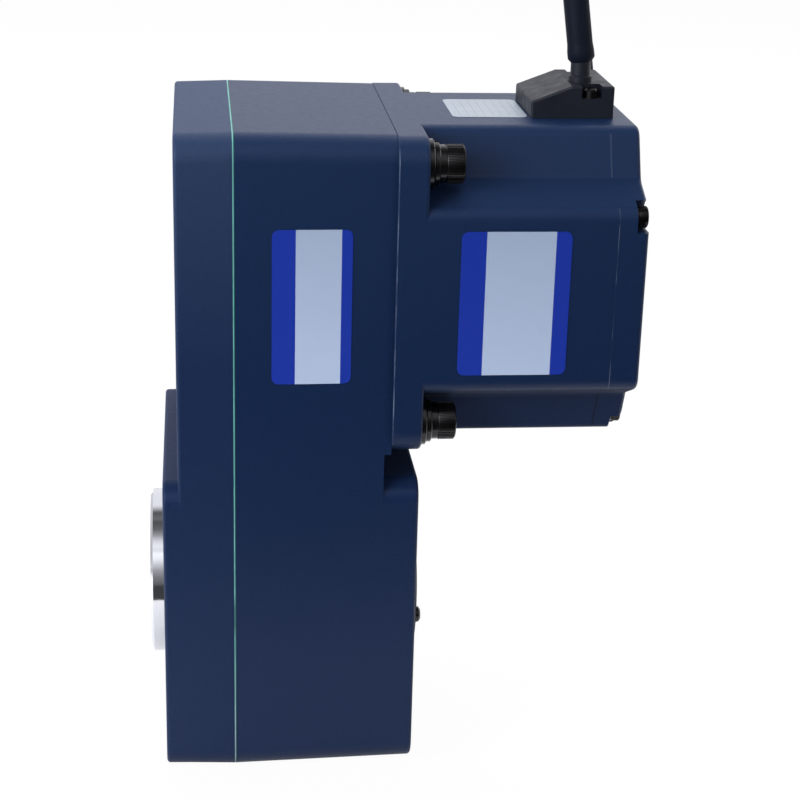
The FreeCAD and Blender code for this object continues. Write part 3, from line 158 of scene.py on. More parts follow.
# Label plates. The side labels are pale between their cuts and blue outside them.
LABEL_GAP = 0.00002
LABEL_FOOT = 0.088
LABEL_TOP = 0.138
CASE_LABEL = SideLabel(
    "case_label", x=0.04788, z=0.11287, size=(0.0253, 0.0507), cuts=(0.04267, 0.0571))
MOTOR_LABEL = SideLabel(
    "motor_label", x=0.11212, z=0.11409, size=(0.0352, 0.0475), cuts=(0.10255, 0.12465))
TOP_LABEL_PLACE = (0.1078, -0.0006)
TOP_LABEL_SIZE = (0.0247, 0.0296)
RULED_LEFT = 0.0982
RULED_STEP = 0.00275
RULED_COLUMNS = [RULED_LEFT + RULED_STEP * step for step in range(8)]
RULED_ROWS = (-0.0135, -0.0060, 0.0030, 0.0120)
RULED_STROKE = 0.00011

# Studio. The surround's pairs are a place round the X axis (0 and 1 in front, 0.25 below, 0.5 behind and
# 0.75 above) and the level that reflections see there.
FLOOR_SIZE = 12
FLOOR_FRONT = -0.18
FLOOR_GAP = 0.0004
FLOOR_SEEN = 0.965
FLOOR_MIRRORED = 0.3
SURROUND = (
    (0.0, 0.05), (0.1, 0.05), (0.3, 0.9), (0.45, 1.02), (0.655, 1.02), (0.69, 0.16), (0.7, 0.12),
    (0.725, 0.2), (0.742, 0.1), (0.775, 0.16), (0.8, 0.38), (0.825, 0.85), (0.845, 1.05), (0.862, 0.88),
    (0.874, 1.2), (0.895, 1.05), (0.915, 0.7), (0.94, 0.38), (0.965, 0.22), (0.99, 0.14), (1.0, 0.06))
SURROUND_BLUE = 1.03
SURROUND_CONTRAST = 144.0
SURROUND_BEHIND = 0.1
AMBIENT_COLOUR = (0.95, 0.97, 1.0, 1)
AMBIENT_LEVEL = 0.35
WHITE = (1, 1, 1, 1)
LAMP_AIM = Vector((0.07, 0.0, 0.06))
LEFT = (-0.55, -0.42, 0.35)
RIGHT = (0.9, -0.7, 0.5)
LAMPS = (
    Lamp("key", place=(0.15, 0.55, 1.3), size=1.1, power=18.0, mirrored=False),
    Lamp("left", place=LEFT, size=0.5, power=5.8, mirrored=False),
    Lamp("right", place=RIGHT, size=0.5, power=2.0, mirrored=False),
    Lamp("rear", place=(0.2, 1.2, 1.0), size=1.2, power=9.0, mirrored=False),
    Lamp("left_spark", place=LEFT, size=0.1, power=0.6, mirrored=True),
    Lamp("right_spark", place=RIGHT, size=0.12, power=0.9, mirrored=True),
)
SENSOR_WIDTH = 36
CLIP_START = 0.01


def linear(level):
    """A level from 0 to 255 as it looks on screen, as a scene-linear value, by the sRGB curve."""
    part = level / 255
    return ((part + 0.055) / 1.055) ** 2.4 if level > 10 else part / 12.92


def shown(red, green, blue):
    """A colour written as it looks on screen, as scene-linear values."""
    return (linear(red), linear(green), linear(blue))


def scaled(tone, part):
    """A colour made darker or lighter."""
    return tuple(min(1.0, c * part) for c in tone)


def length(name, description, default):
    return FloatProperty(name=name, description=description, default=default, unit="LENGTH", precision=5)


def colour(name, description, default):
    return FloatVectorProperty(
        name=name, description=description, default=default, subtype="COLOR", min=0, max=1)


class GearMotorSizes(bpy.types.PropertyGroup):
    """Sizes of the new pieces and the camera's place"""
    label_thickness: length("Label thickness", "Foil thickness of the label plates", 0.00014)
    label_corner: length("Label corner", "Corner radius of the label plates", 0.0022)
    knurl_ridges: IntProperty(name="Knurl ridges", description="Ridges round a flange screw head", default=44)
    knurl_height: length("Knurl height", "Height of the ridges on a flange screw head", 0.00022)
    lead_diameter: length("Lead diameter", "Outer diameter of the sleeved motor lead", 0.0084)
    sleeve_taper: length("Sleeve taper", "Length over which the sleeve is drawn in at the outlet", 0.0013)
    lead_length: length("Lead length", "Length of the motor lead from the outlet to its plug", 0.2806)
    case_draft: FloatProperty(
        name="Case draft", description="Draft of the case wall under the label",
        default=math.radians(0.8), subtype="ANGLE")
    camera_place: FloatVectorProperty(
        name="Camera", description="Where the camera stands",
        default=(0.01218, -0.61387, 0.28844), subtype="TRANSLATION")
    camera_turn: FloatVectorProperty(
        name="Camera turn", description="Yaw, pitch and roll of the camera",
        default=(math.radians(-6.526), math.radians(69.96), math.radians(1.586)), subtype="EULER")
    camera_lens: FloatProperty(
        name="Lens", description="Focal length on a 36 mm sensor", default=84.28, unit="CAMERA")


class GearMotorColours(bpy.types.PropertyGroup):
    """Base colours of the finishes"""
    paint: colour("Paint", "Navy paint of the castings", shown(9, 31, 65))
    # The next two colours are the navy paint made lighter near the top of the castings and of the front
    # cover: painted light from above.
    top_lit_paint: colour("Top lit paint", "Navy paint with painted light near the top of the castings", shown(18, 38, 70))
    cover_top_lit_paint: colour("Cover top lit paint", "Navy paint with painted light near the top of the front cover", shown(33, 50, 80))
    # Near black that darkens the paint in the notch and under-motor boxes: painted shade.
    recess_shade: colour("Recess", "Painted shade in the recesses", (0.0, 0.004, 0.015))
    # Pale joint colour: bare edges with a painted highlight.
    bare_edge_and_highlight: colour("Hairline", "Bare edges and painted highlight along the joints of the motor", shown(132, 142, 158))
    dark_line: colour("Dark line", "End cap joint in the lower notches", shown(2, 8, 22))
    pale_line: colour("Pale line", "End cap joint in the upper notches", shown(96, 110, 132))
    gasket: colour("Gasket", "Gasket sheet", shown(104, 172, 166))
    gasket_foot: colour("Gasket foot", "Gasket sheet near the base", shown(140, 162, 172))
    gasket_edge: colour("Gasket edge", "Dark rear edge of the gasket sheet", shown(14, 70, 64))
    black_steel: colour("Black steel", "Black oxide of the screws", shown(45, 44, 46))
    bright_steel: colour("Bright steel", "Turned steel", shown(222, 224, 230))
    bearing_steel: colour("Bearing steel", "Ground bearing rings", shown(196, 198, 203))
    gear_steel: colour("Gear steel", "Machined gears and shafts", shown(168, 168, 172))
    rubber: colour("Rubber", "Seals, rings and the rear bore cover", shown(28, 28, 30))
    copper: colour("Copper", "Enamelled winding wire", shown(176, 96, 48))
    lamination: colour("Lamination", "Stacked electrical sheet", shown(108, 110, 116))
    magnet: colour("Magnet", "Nickel plated magnets", shown(182, 182, 186))
    board: colour("Board", "Sensor board", shown(20, 98, 60))
    plastic: colour("Plastic", "Black moulded plastic", shown(20, 24, 33))
    sleeve: colour("Sleeve", "Lead sleeve", shown(14, 20, 32))
    nylon: colour("Nylon", "Plug shell", shown(200, 197, 187))
    label_blue: colour("Label blue", "Blue bands of the side labels", shown(26, 50, 151))
    label_pale: colour("Label pale", "Pale field of the side labels", shown(170, 186, 214))
    label_white: colour("Label white", "Top label", shown(147, 156, 168))
    label_ink: colour("Label ink", "Ruled lines of the top label", shown(120, 124, 132))
    floor: colour("Floor", "Pale floor", (0.86, 0.86, 0.87))


class Nodes:
    """A node tree, with short ways to add nodes and to link them."""

    def __init__(self, tree):
        self.tree = tree

    def feed(self, socket, value):
        """Links another socket to the input, or sets its value."""
        if isinstance(value, bpy.types.NodeSocket):
            self.tree.links.new(value, socket)
        else:
            socket.default_value = value

    def node(self, kind, feeds=None, **settings):
        """Adds a node; feeds go to its inputs by name or number."""
        new = self.tree.nodes.new(kind)
        for key, value in settings.items():
            setattr(new, key, value)
        for socket, value in (feeds or {}).items():
            self.feed(new.inputs[socket], value)
        return new

    def sum(self, operation, *values):
        """Result of a Math node."""
        return self.node("ShaderNodeMath", dict(enumerate(values)), operation=operation).outputs[0]

    def ranged(self, value, low, high, to_low=0.0, to_high=1.0):
        """The value carried from one range to another and kept inside it."""
        feeds = {"Value": value, "From Min": low, "From Max": high, "To Min": to_low, "To Max": to_high}
        return self.node("ShaderNodeMapRange", feeds).outputs["Result"]

    def mixed(self, factor, first, second):
        """A colour between two; a colour Mix node has them as its inputs 6 and 7."""
        ends = [end if isinstance(end, bpy.types.NodeSocket) else (*end, 1.0) for end in (first, second)]
        feeds = {"Factor": factor, 6: ends[0], 7: ends[1]}
        return self.node("ShaderNodeMix", feeds, data_type="RGBA").outputs[2]

    def blended(self, factor, first, second):
        """A shader between two."""
        return self.node("ShaderNodeMixShader", {"Fac": factor, 1: first, 2: second}).outputs["Shader"]

    def rays(self):
        """Whether the ray comes straight from the camera, and whether it is a reflection."""
        path = self.node("ShaderNodeLightPath").outputs
        straight = self.sum("MAXIMUM", path["Is Camera Ray"], path["Is Transmission Ray"])
        return straight, path["Is Glossy Ray"]


class Finish(Nodes):
    """A material on Object coordinates, with the textures that vary it."""

    def __init__(self, name, roughness, metallic=0.0, **sockets):
        self.material = bpy.data.materials.new(name)
        self.material.use_nodes = True
        super().__init__(self.material.node_tree)
        self.shader = self.tree.nodes["Principled BSDF"]
        self.shader.inputs["Metallic"].default_value = metallic
        self.shader.inputs["Roughness"].default_value = roughness
        for socket, value in sockets.items():
            self.shader.inputs[socket.replace("_", " ")].default_value = value
        self.coords = self.node("ShaderNodeTexCoord").outputs["Object"]

    def noise(self, scale, detail=3.0, stretch=None):
        """Cloudy values about a half; stretch multiplies the scale along X, Y and Z."""
        vector = self.coords
        if stretch:
            vector = self.node("ShaderNodeMapping", {"Vector": vector, "Scale": stretch}).outputs["Vector"]
        feeds = {"Vector": vector, "Scale": scale, "Detail": detail}
        return self.node("ShaderNodeTexNoise", feeds).outputs["Fac"]

    def wave(self, scale, distortion=0.0, **settings):
        feeds = {"Vector": self.coords, "Scale": scale, "Distortion": distortion}
        return self.node("ShaderNodeTexWave", feeds, **settings).outputs["Fac"]

    def axis(self, letter):
        return self.node("ShaderNodeSeparateXYZ", {"Vector": self.coords}).outputs[letter]

    def distance(self, letter, place):
        """How far a point lies from the place along the axis."""
        return self.sum("ABSOLUTE", self.sum("SUBTRACT", self.axis(letter), place))

    def within(self, box, rim):
        """One inside the box, fading to zero over its rim."""
        inside = 1.0
        for letter, (low, high) in zip("XYZ", box):
            half = (high - low) / 2
            along = self.ranged(self.distance(letter, (low + high) / 2), half - rim, half, 1.0, 0.0)
            inside = self.sum("MULTIPLY", along, inside)
        return inside

    def tint(self, value):
        self.feed(self.shader.inputs["Base Color"], value)

    def varied(self, base, factor, spread):
        """Base colour from darker to lighter by the spread, along the factor."""
        self.tint(self.mixed(factor, scaled(base, 1 - spread), scaled(base, 1 + spread)))

    def rough(self, factor, low, high):
        self.feed(self.shader.inputs["Roughness"], self.ranged(factor, *NOISE_SPAN, low, high))

    def bump(self, height, distance, strength):
        feeds = {"Height": height, "Distance": distance, "Strength": strength}
        self.feed(self.shader.inputs["Normal"], self.node("ShaderNodeBump", feeds).outputs["Normal"])


def paint_finish(name, colours, high, roughness, recess_shade=None, hairlines=(), notch_lines=()):
    """Satin paint that goes over to its lighter high colour up the casting, which is painted light from
    above, and inside the box it is given is rougher and darker, which is painted shade in the recesses.

    Hairlines are broken pale lines on the near side, which are bare edges with a painted highlight on them,
    and notch lines are toned boxes.
    """
    finish = Finish(name, roughness=roughness, IOR=1.33)
    # The colour goes over to the lighter high colour up Z: painted light from above.
    up = finish.ranged(finish.axis("Z"), *PAINTED_TOP_LIGHT)
    parts = (1 - PAINT_SPREAD, 1 + PAINT_SPREAD)
    shades = [finish.mixed(up, scaled(colours.paint, part), scaled(high, part)) for part in parts]
    tone = finish.mixed(finish.noise(1100, 2), *shades)
    satin = finish.ranged(
        finish.noise(420), *NOISE_SPAN, roughness - SATIN_SPREAD, roughness + SATIN_SPREAD)
    # Inside the box the paint turns rougher and darker; the darkening is painted shade.
    if recess_shade:
        dull_and_shaded = finish.within(recess_shade, RECESS_RIM)
        tone = finish.mixed(finish.sum("MULTIPLY", dull_and_shaded, RECESS_SHADE_TINT), tone, colours.recess_shade)
        more = finish.sum("MULTIPLY", dull_and_shaded, RECESS_ROUGHNESS - roughness)
        satin = finish.sum("ADD", satin, more)
    # Pale broken lines at the joints on the near side: bare edges with a painted highlight.
    for joint in hairlines:
        off = finish.distance("X", joint.place)
        line = finish.ranged(off, joint.half * 0.5, joint.half, joint.strength, 0.0)
        broken = finish.ranged(finish.noise(120), 0.42, 0.62, to_low=0.1)
        near = finish.ranged(finish.axis("Y"), *NEAR_SIDE, 1.0, 0.0)
        bare = finish.sum("MULTIPLY", finish.sum("MULTIPLY", line, broken), near)
        tone = finish.mixed(bare, tone, colours.bare_edge_and_highlight)
    for line in notch_lines:
        inside = finish.sum("MULTIPLY", finish.within(line.box, NOTCH_LINE_RIM), line.strength)
        tone = finish.mixed(inside, tone, getattr(colours, line.colour))
    finish.tint(tone)
    finish.feed(finish.shader.inputs["Roughness"], satin)
    finish.bump(finish.noise(1500, 2), distance=0.00012, strength=0.7)
    return finish.material


def gasket_finish(colours):
    """Teal sheet seen edge-on: dark at its rear edge and in one stretch, and grey towards the base."""
    finish = Finish("gasket_sheet", roughness=0.5)
    middle = (GASKET_LOW.x + GASKET_HIGH.x) / 2
    front = finish.ranged(finish.axis("X"), middle, middle + GASKET_RIM, 1.0, 0.0)
    clear = finish.ranged(finish.distance("Z", GASKET_DARK_Z), *GASKET_DARK_REACH, to_low=0.25)
    patchy = finish.ranged(finish.noise(60, stretch=(0.0, 1.0, 1.0)), 0.3, 0.6, to_low=0.6)
    pale = finish.sum("MULTIPLY", finish.sum("MULTIPLY", clear, patchy), front)
    up = finish.ranged(finish.axis("Z"), *GASKET_GREY)
    sheet = finish.mixed(up, colours.gasket_foot, colours.gasket)
    finish.tint(finish.mixed(pale, colours.gasket_edge, sheet))
    finish.rough(finish.noise(500), low=0.42, high=0.6)
    return finish.material


def black_steel_finish(colours):
    finish = Finish("black_oxide_steel", roughness=0.24, metallic=0.9, Coat_Weight=0.35, Coat_Roughness=0.12)
    finish.varied(colours.black_steel, finish.noise(420, 4), spread=0.35)
    finish.rough(finish.noise(260), low=0.2, high=0.3)
    finish.bump(finish.noise(2600, 2), distance=0.00002, strength=0.3)
    return finish.material


def turned_finish(name, base, low, high):
    """Turned steel: fine lines that run round the X axis, with roughness from low to high."""
    finish = Finish(name, roughness=low, metallic=1.0)
    cut = finish.noise(9000, 2, stretch=(1.0, 0.02, 0.02))
    finish.varied(base, cut, spread=0.06)
    finish.rough(cut, low, high)
    finish.bump(cut, distance=0.000006, strength=0.5)
    return finish.material


def gear_finish(colours):
    finish = Finish("machined_gear_steel", roughness=0.3, metallic=1.0)
    cut = finish.noise(3200, stretch=(0.15, 1.0, 1.0))
    finish.varied(colours.gear_steel, finish.noise(60, 4), spread=0.12)
    finish.rough(cut, low=0.22, high=0.4)
    finish.bump(cut, distance=0.00001, strength=0.6)
    return finish.material


def rubber_finish(colours):
    finish = Finish("seal_rubber", roughness=0.6)
    finish.varied(colours.rubber, finish.noise(300), spread=0.2)
    finish.rough(finish.noise(150), low=0.5, high=0.7)
    finish.bump(finish.noise(2200, 2), distance=0.00003, strength=0.5)
    return finish.material


def stack_finish(colours):
    """Sheets stacked along X."""
    finish = Finish("stator_sheet", roughness=0.45, metallic=0.8)
    sheets = finish.wave(WAVE_PERIOD / SHEET_PITCH, bands_direction="X")
    finish.varied(colours.lamination, sheets, spread=0.25)
    finish.bump(sheets, distance=0.00008, strength=0.6)
    return finish.material


def copper_finish(colours):
    finish = Finish("enamelled_copper", roughness=0.3, metallic=0.9, Coat_Weight=0.5)
    turns = finish.wave(420, distortion=1.5, wave_type="RINGS", rings_direction="X")
    finish.varied(colours.copper, turns, spread=0.3)
    finish.bump(turns, distance=0.0002, strength=0.7)
    return finish.material


def plated_finish(colours):
    finish = Finish("nickel_plate", roughness=0.25, metallic=1.0)
    finish.varied(colours.magnet, finish.noise(120), spread=0.08)
    finish.rough(finish.noise(400), low=0.2, high=0.34)
    return finish.material


def board_finish(colours):
    """Board with paler traces."""
    finish = Finish("sensor_board", roughness=0.3, Coat_Weight=0.3)
    traces = finish.ranged(finish.noise(220, 1, stretch=(0.0, 1.0, 0.3)), 0.5, 0.54)
    finish.tint(finish.mixed(traces, colours.board, scaled(colours.board, 1.7)))
    return finish.material


def plastic_finish(name, base, ior):
    finish = Finish(name, roughness=0.5, IOR=ior)
    finish.varied(base, finish.noise(70), spread=0.14)
    finish.rough(finish.noise(240), low=0.42, high=0.56)
    finish.bump(finish.noise(2400, 2), distance=0.00005, strength=0.5)
    return finish.material


def sleeve_finish(colours):
    finish = Finish("lead_sleeve", roughness=0.42, IOR=1.2)
    finish.varied(colours.sleeve, finish.noise(80), spread=0.22)
    finish.rough(finish.noise(190), low=0.5, high=0.62)
    finish.bump(finish.noise(150), distance=0.00035, strength=0.5)
    return finish.material


def nylon_finish(colours):
    finish = Finish("nylon_shell", roughness=0.45, Subsurface_Weight=0.05)
    finish.varied(colours.nylon, finish.noise(60), spread=0.04)
    finish.rough(finish.noise(300), low=0.38, high=0.5)
    finish.bump(finish.noise(1800, 2), distance=0.00003, strength=0.4)
    return finish.material


def foil_finish(name, base, fade):
    """Foil of a side label, darker by the fade towards its top."""
    finish = Finish(name, roughness=0.32, IOR=1.25)
    up = finish.ranged(finish.axis("Z"), LABEL_FOOT, LABEL_TOP)
    cloudy = finish.sum("ADD", up, finish.ranged(finish.noise(140), 0.0, 1.0, -0.06, 0.06))
    finish.tint(finish.mixed(cloudy, base, scaled(base, 1 - fade)))
    finish.rough(finish.noise(70), low=0.27, high=0.38)
    finish.bump(finish.noise(900, 2), distance=0.000012, strength=0.4)
    return finish.material


def ruled_finish(colours):
    """White foil with a plain ruled table."""
    finish = Finish("label_ruled_foil", roughness=0.35, IOR=1.3)
    ruled = 0.0
    for letter, places, other, ends in (
            ("X", RULED_COLUMNS, "Y", RULED_ROWS), ("Y", RULED_ROWS, "X", RULED_COLUMNS)):
        middle = (ends[0] + ends[-1]) / 2
        inside = finish.sum("COMPARE", finish.axis(other), middle, (ends[-1] - ends[0]) / 2)
        for place in places:
            stroke = finish.sum("COMPARE", finish.axis(letter), place, RULED_STROKE)
            ruled = finish.sum("MAXIMUM", finish.sum("MULTIPLY", stroke, inside), ruled)
    paper = finish.mixed(finish.noise(140), scaled(colours.label_white, 0.97), colours.label_white)
    finish.tint(finish.mixed(ruled, paper, colours.label_ink))
    finish.rough(finish.noise(70), low=0.3, high=0.42)
    return finish.material


def wear(node, material):
    """Gives a CAD node its finish."""
    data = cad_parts[node].data
    data.materials.clear()
    data.materials.append(material)


def made(name, *materials):
    """Names the active new piece and gives it its finishes."""
    piece = bpy.context.object
    piece.name = name
    piece.data.name = name
    piece.data.materials.clear()
    for material in materials:
        piece.data.materials.append(material)
    return piece


def deselect():
    bpy.ops.object.select_all(action="DESELECT")


def activate(piece):
    """Selects one piece alone."""
    deselect()
    piece.select_set(True)
    bpy.context.view_layer.objects.active = piece


def settle(piece):
    """Puts a piece's place into its mesh."""
    activate(piece)
    bpy.ops.object.transform_apply(location=True, rotation=True, scale=True)


def pick(piece, test):
    """Opens the piece in edit mode with only the faces picked that pass the test."""
    bpy.ops.object.mode_set(mode="EDIT")
    bpy.ops.mesh.select_mode(type="FACE")
    bpy.ops.mesh.select_all(action="DESELECT")
    bpy.ops.object.mode_set(mode="OBJECT")
    for face in piece.data.polygons:
        face.select = test(face)
    bpy.ops.object.mode_set(mode="EDIT")


def done():
    """Leaves edit mode."""
    bpy.ops.object.mode_set(mode="OBJECT")


def apply_modifier(piece, kind, **settings):
    modifier = piece.modifiers.new(kind.lower(), kind)
    for key, value in settings.items():
        setattr(modifier, key, value)
    bpy.context.view_layer.objects.active = piece
    bpy.ops.object.modifier_apply(modifier=modifier.name)


def push_out(x=0.0, z=0.0):
    """Extrudes the picked faces."""
    bpy.ops.mesh.extrude_region_move(TRANSFORM_OT_translate={"value": (x, 0, z)})


def round_over(radius, towards, steps=4):
    """Rounds the edge of the picked end face, which moves along X by the radius."""
    turns = [math.pi / 2 * step / steps for step in range(steps + 1)]
    for low, high in zip(turns, turns[1:]):
        bpy.ops.mesh.inset(thickness=radius * (math.cos(low) - math.cos(high)))
        rise = towards * radius * (math.sin(high) - math.sin(low))
        bpy.ops.transform.translate(value=(rise, 0, 0))


def socket_cutter(place, flats, depth):
    """A hexagonal bar along X that cuts the socket."""
    deselect()
    bpy.ops.mesh.primitive_cylinder_add(
        vertices=6, radius=flats / math.sqrt(3), depth=depth,
        location=(place, 0, 0), rotation=(0, math.pi / 2, 0))
    cutter = bpy.context.object
    settle(cutter)
    return cutter


def knurled_screw(kind, sizes, material):
    """One socket screw on the X axis, placed by its CAD node, with a plain collar under its knurl."""
    low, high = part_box(kind.node)
    towards = kind.towards
    top = high.x if towards > 0 else low.x
    seat = top - towards * kind.head_h
    shank_l = high.x - low.x - kind.head_h - SHANK_GAP
    ridges = round(sizes.knurl_ridges * kind.fine)
    ridge_h = sizes.knurl_height * kind.fine
    collar = kind.head_h * 0.23
    collar_r = kind.head_r - ridge_h * 0.5
    groove = ridge_h * 1.2
    dome = kind.head_h * 0.06
    core_r = kind.head_r - ridge_h
    knurl_h = kind.head_h - collar - groove * 2 - dome
    foot = seat + towards * (collar + groove * 2)
    deselect()
    bpy.ops.mesh.primitive_cylinder_add(
        vertices=ridges * 2, radius=core_r, depth=knurl_h, end_fill_type="NGON",
        location=(foot + towards * knurl_h / 2, 0, 0), rotation=(0, math.pi / 2, 0))
    screw = made(kind.piece, material)
    settle(screw)
    pick(screw, lambda f: abs(f.normal.x) < 0.1 and f.index % 2 == 0)
    bpy.ops.mesh.inset(thickness=KNURL_EDGE, depth=ridge_h, use_individual=True)
    done()
    pick(screw, lambda f: f.normal.x * towards > 0.9 and len(f.vertices) > 8)
    round_over(dome, towards)
    done()
    pick(screw, lambda f: f.normal.x * towards < -0.9 and len(f.vertices) > 8)
    round_over(groove, -towards)
    push_out(-towards * groove)
    push_out()
    widen = collar_r / (core_r - groove)
    bpy.ops.transform.resize(value=(1, widen, widen), center_override=(foot, 0, 0))
    push_out(-towards * collar)
    bpy.ops.mesh.inset(thickness=collar_r - kind.shank_r)
    push_out(-towards * shank_l)
    done()
    cutter = socket_cutter(top, kind.flats, depth=kind.head_h * 1.2)
    apply_modifier(screw, "BOOLEAN", object=cutter, operation="DIFFERENCE", solver="EXACT")
    bpy.data.objects.remove(cutter)
    return screw


def repeat_at(screw, spots):
    """Copies the piece to every (y, z) and joins the copies into one piece."""
    name = screw.name
    copies = []
    for y, z in spots:
        activate(screw)
        bpy.ops.object.duplicate()
        copy = bpy.context.object
        copy.location = (0, y, z)
        settle(copy)
        copies.append(copy)
    bpy.data.objects.remove(screw)
    deselect()
    for copy in copies:
        copy.select_set(True)
    bpy.context.view_layer.objects.active = copies[0]
    bpy.ops.object.join()
    group = bpy.context.object
    group.name = name
    group.data.name = name
    bpy.ops.object.shade_smooth_by_angle(angle=SCREW_SMOOTH)
    return group


def plate(name, centre, size, turn, sizes, materials, cuts=()):
    """A foil plate with round corners; between two cuts across X it wears its second finish."""
    deselect()
    bpy.ops.mesh.primitive_plane_add(size=1, location=centre, rotation=turn)
    piece = made(name, *materials)
    piece.scale = (*size, 1)
    settle(piece)
    bpy.ops.object.mode_set(mode="EDIT")
    bpy.ops.mesh.select_mode(type="VERT")
    bpy.ops.mesh.select_all(action="SELECT")
    bpy.ops.mesh.bevel(offset=sizes.label_corner, segments=5, affect="VERTICES")
    for x in cuts:
        bpy.ops.mesh.select_all(action="SELECT")
        bpy.ops.mesh.bisect(plane_co=(x, 0, 0), plane_no=(1, 0, 0))
    done()
    apply_modifier(piece, "SOLIDIFY", thickness=sizes.label_thickness, offset=1.0)
    if cuts:
        for face in piece.data.polygons:
            face.material_index = int(cuts[0] < face.center.x < cuts[1])
    return piece


class GEARMOTOR_OT_studio(bpy.types.Operator):
    """Set the pale floor, the soft studio light and the camera"""
    bl_idname = "gearmotor.studio"
    bl_label = "Studio"

    def execute(self, context):
        scene = context.scene
        self.floor(scene.gear_motor_colours)
        self.surround(scene)
        self.lamps(scene)
        self.camera(scene)
        scene.view_settings.view_transform = "Standard"
        return {"FINISHED"}

    def floor(self, colours):
        """A pale plane that looks nearly white and keeps the object's shadow."""
        deselect()
        bpy.ops.mesh.primitive_plane_add(
            size=FLOOR_SIZE, location=(0, FLOOR_FRONT + FLOOR_SIZE / 2, CAD_BOX[0][2] - FLOOR_GAP))
        finish = Finish("pale_floor", roughness=0.8)
        finish.varied(colours.floor, finish.noise(3, 2), spread=0.01)
        glow = finish.node("ShaderNodeEmission", {"Strength": 1.0})
        straight, glossy = finish.rays()
        seen = finish.sum("MULTIPLY", straight, FLOOR_SEEN)
        mirrored = finish.sum("MULTIPLY", glossy, FLOOR_MIRRORED)
        factor = finish.sum("MAXIMUM", seen, mirrored)
        surface = finish.blended(factor, finish.shader.outputs["BSDF"], glow.outputs["Emission"])
        finish.feed(finish.tree.nodes["Material Output"].inputs["Surface"], surface)
        made("floor", finish.material)

    def surround(self, scene):
        """White behind the object, a soft ambient light, and the surround's levels in reflections.

        In front those levels fall from left to right, and behind they rise a little.
        """
        world = bpy.data.worlds.new("studio")
        scene.world = world
        world.use_nodes = True
        world.node_tree.nodes.clear()
        nodes = Nodes(world.node_tree)
        coords = nodes.node("ShaderNodeTexCoord").outputs["Generated"]
        way = nodes.node("ShaderNodeSeparateXYZ", {"Vector": coords}).outputs
        turn = nodes.ranged(nodes.sum("ARCTAN2", way["Z"], way["Y"]), -math.pi, math.pi)
        ramp = nodes.node("ShaderNodeValToRGB", {"Fac": turn})
        elements = ramp.color_ramp.elements
        while len(elements) < len(SURROUND):
            elements.new(0.5)
        for element, (place, level) in zip(elements, SURROUND):
            element.position = place
            element.color = (level, level, level * SURROUND_BLUE, 1)
        depth = nodes.sum("MINIMUM", way["Y"], SURROUND_BEHIND)
        strength = nodes.sum("POWER", SURROUND_CONTRAST, nodes.sum("MULTIPLY", depth, way["X"]))
        ambient = nodes.node("ShaderNodeBackground", {"Color": AMBIENT_COLOUR, "Strength": AMBIENT_LEVEL})
        mirror = nodes.node("ShaderNodeBackground", {"Color": ramp.outputs["Color"], "Strength": strength})
        white = nodes.node("ShaderNodeBackground", {"Color": WHITE})
        straight, glossy = nodes.rays()
        lit = nodes.blended(glossy, ambient.outputs[0], mirror.outputs[0])
        surface = nodes.blended(straight, lit, white.outputs[0])
        nodes.node("ShaderNodeOutputWorld", {"Surface": surface})

    def lamps(self, scene):
        for lamp in LAMPS:
            light = bpy.data.lights.new(lamp.name, "AREA")
            light.size = lamp.size
            light.energy = lamp.power
            holder = bpy.data.objects.new(lamp.name, light)
            holder.location = lamp.place
            holder.rotation_euler = (LAMP_AIM - Vector(lamp.place)).to_track_quat("-Z", "Y").to_euler()
            holder.visible_glossy = lamp.mirrored
            scene.collection.objects.link(holder)

    def camera(self, scene):
        sizes = scene.gear_motor_sizes
        data = bpy.data.cameras.new("camera")
        data.lens = sizes.camera_lens
        data.sensor_width = SENSOR_WIDTH
        data.clip_start = CLIP_START
        camera = bpy.data.objects.new("camera", data)
        yaw, pitch, roll = sizes.camera_turn
        aim = Euler((0, 0, yaw)).to_matrix() @ Euler((pitch, 0, 0)).to_matrix()
        camera.rotation_euler = (aim @ Euler((0, 0, roll)).to_matrix()).to_euler()
        camera.location = sizes.camera_place
        scene.collection.objects.link(camera)
        scene.camera = camera


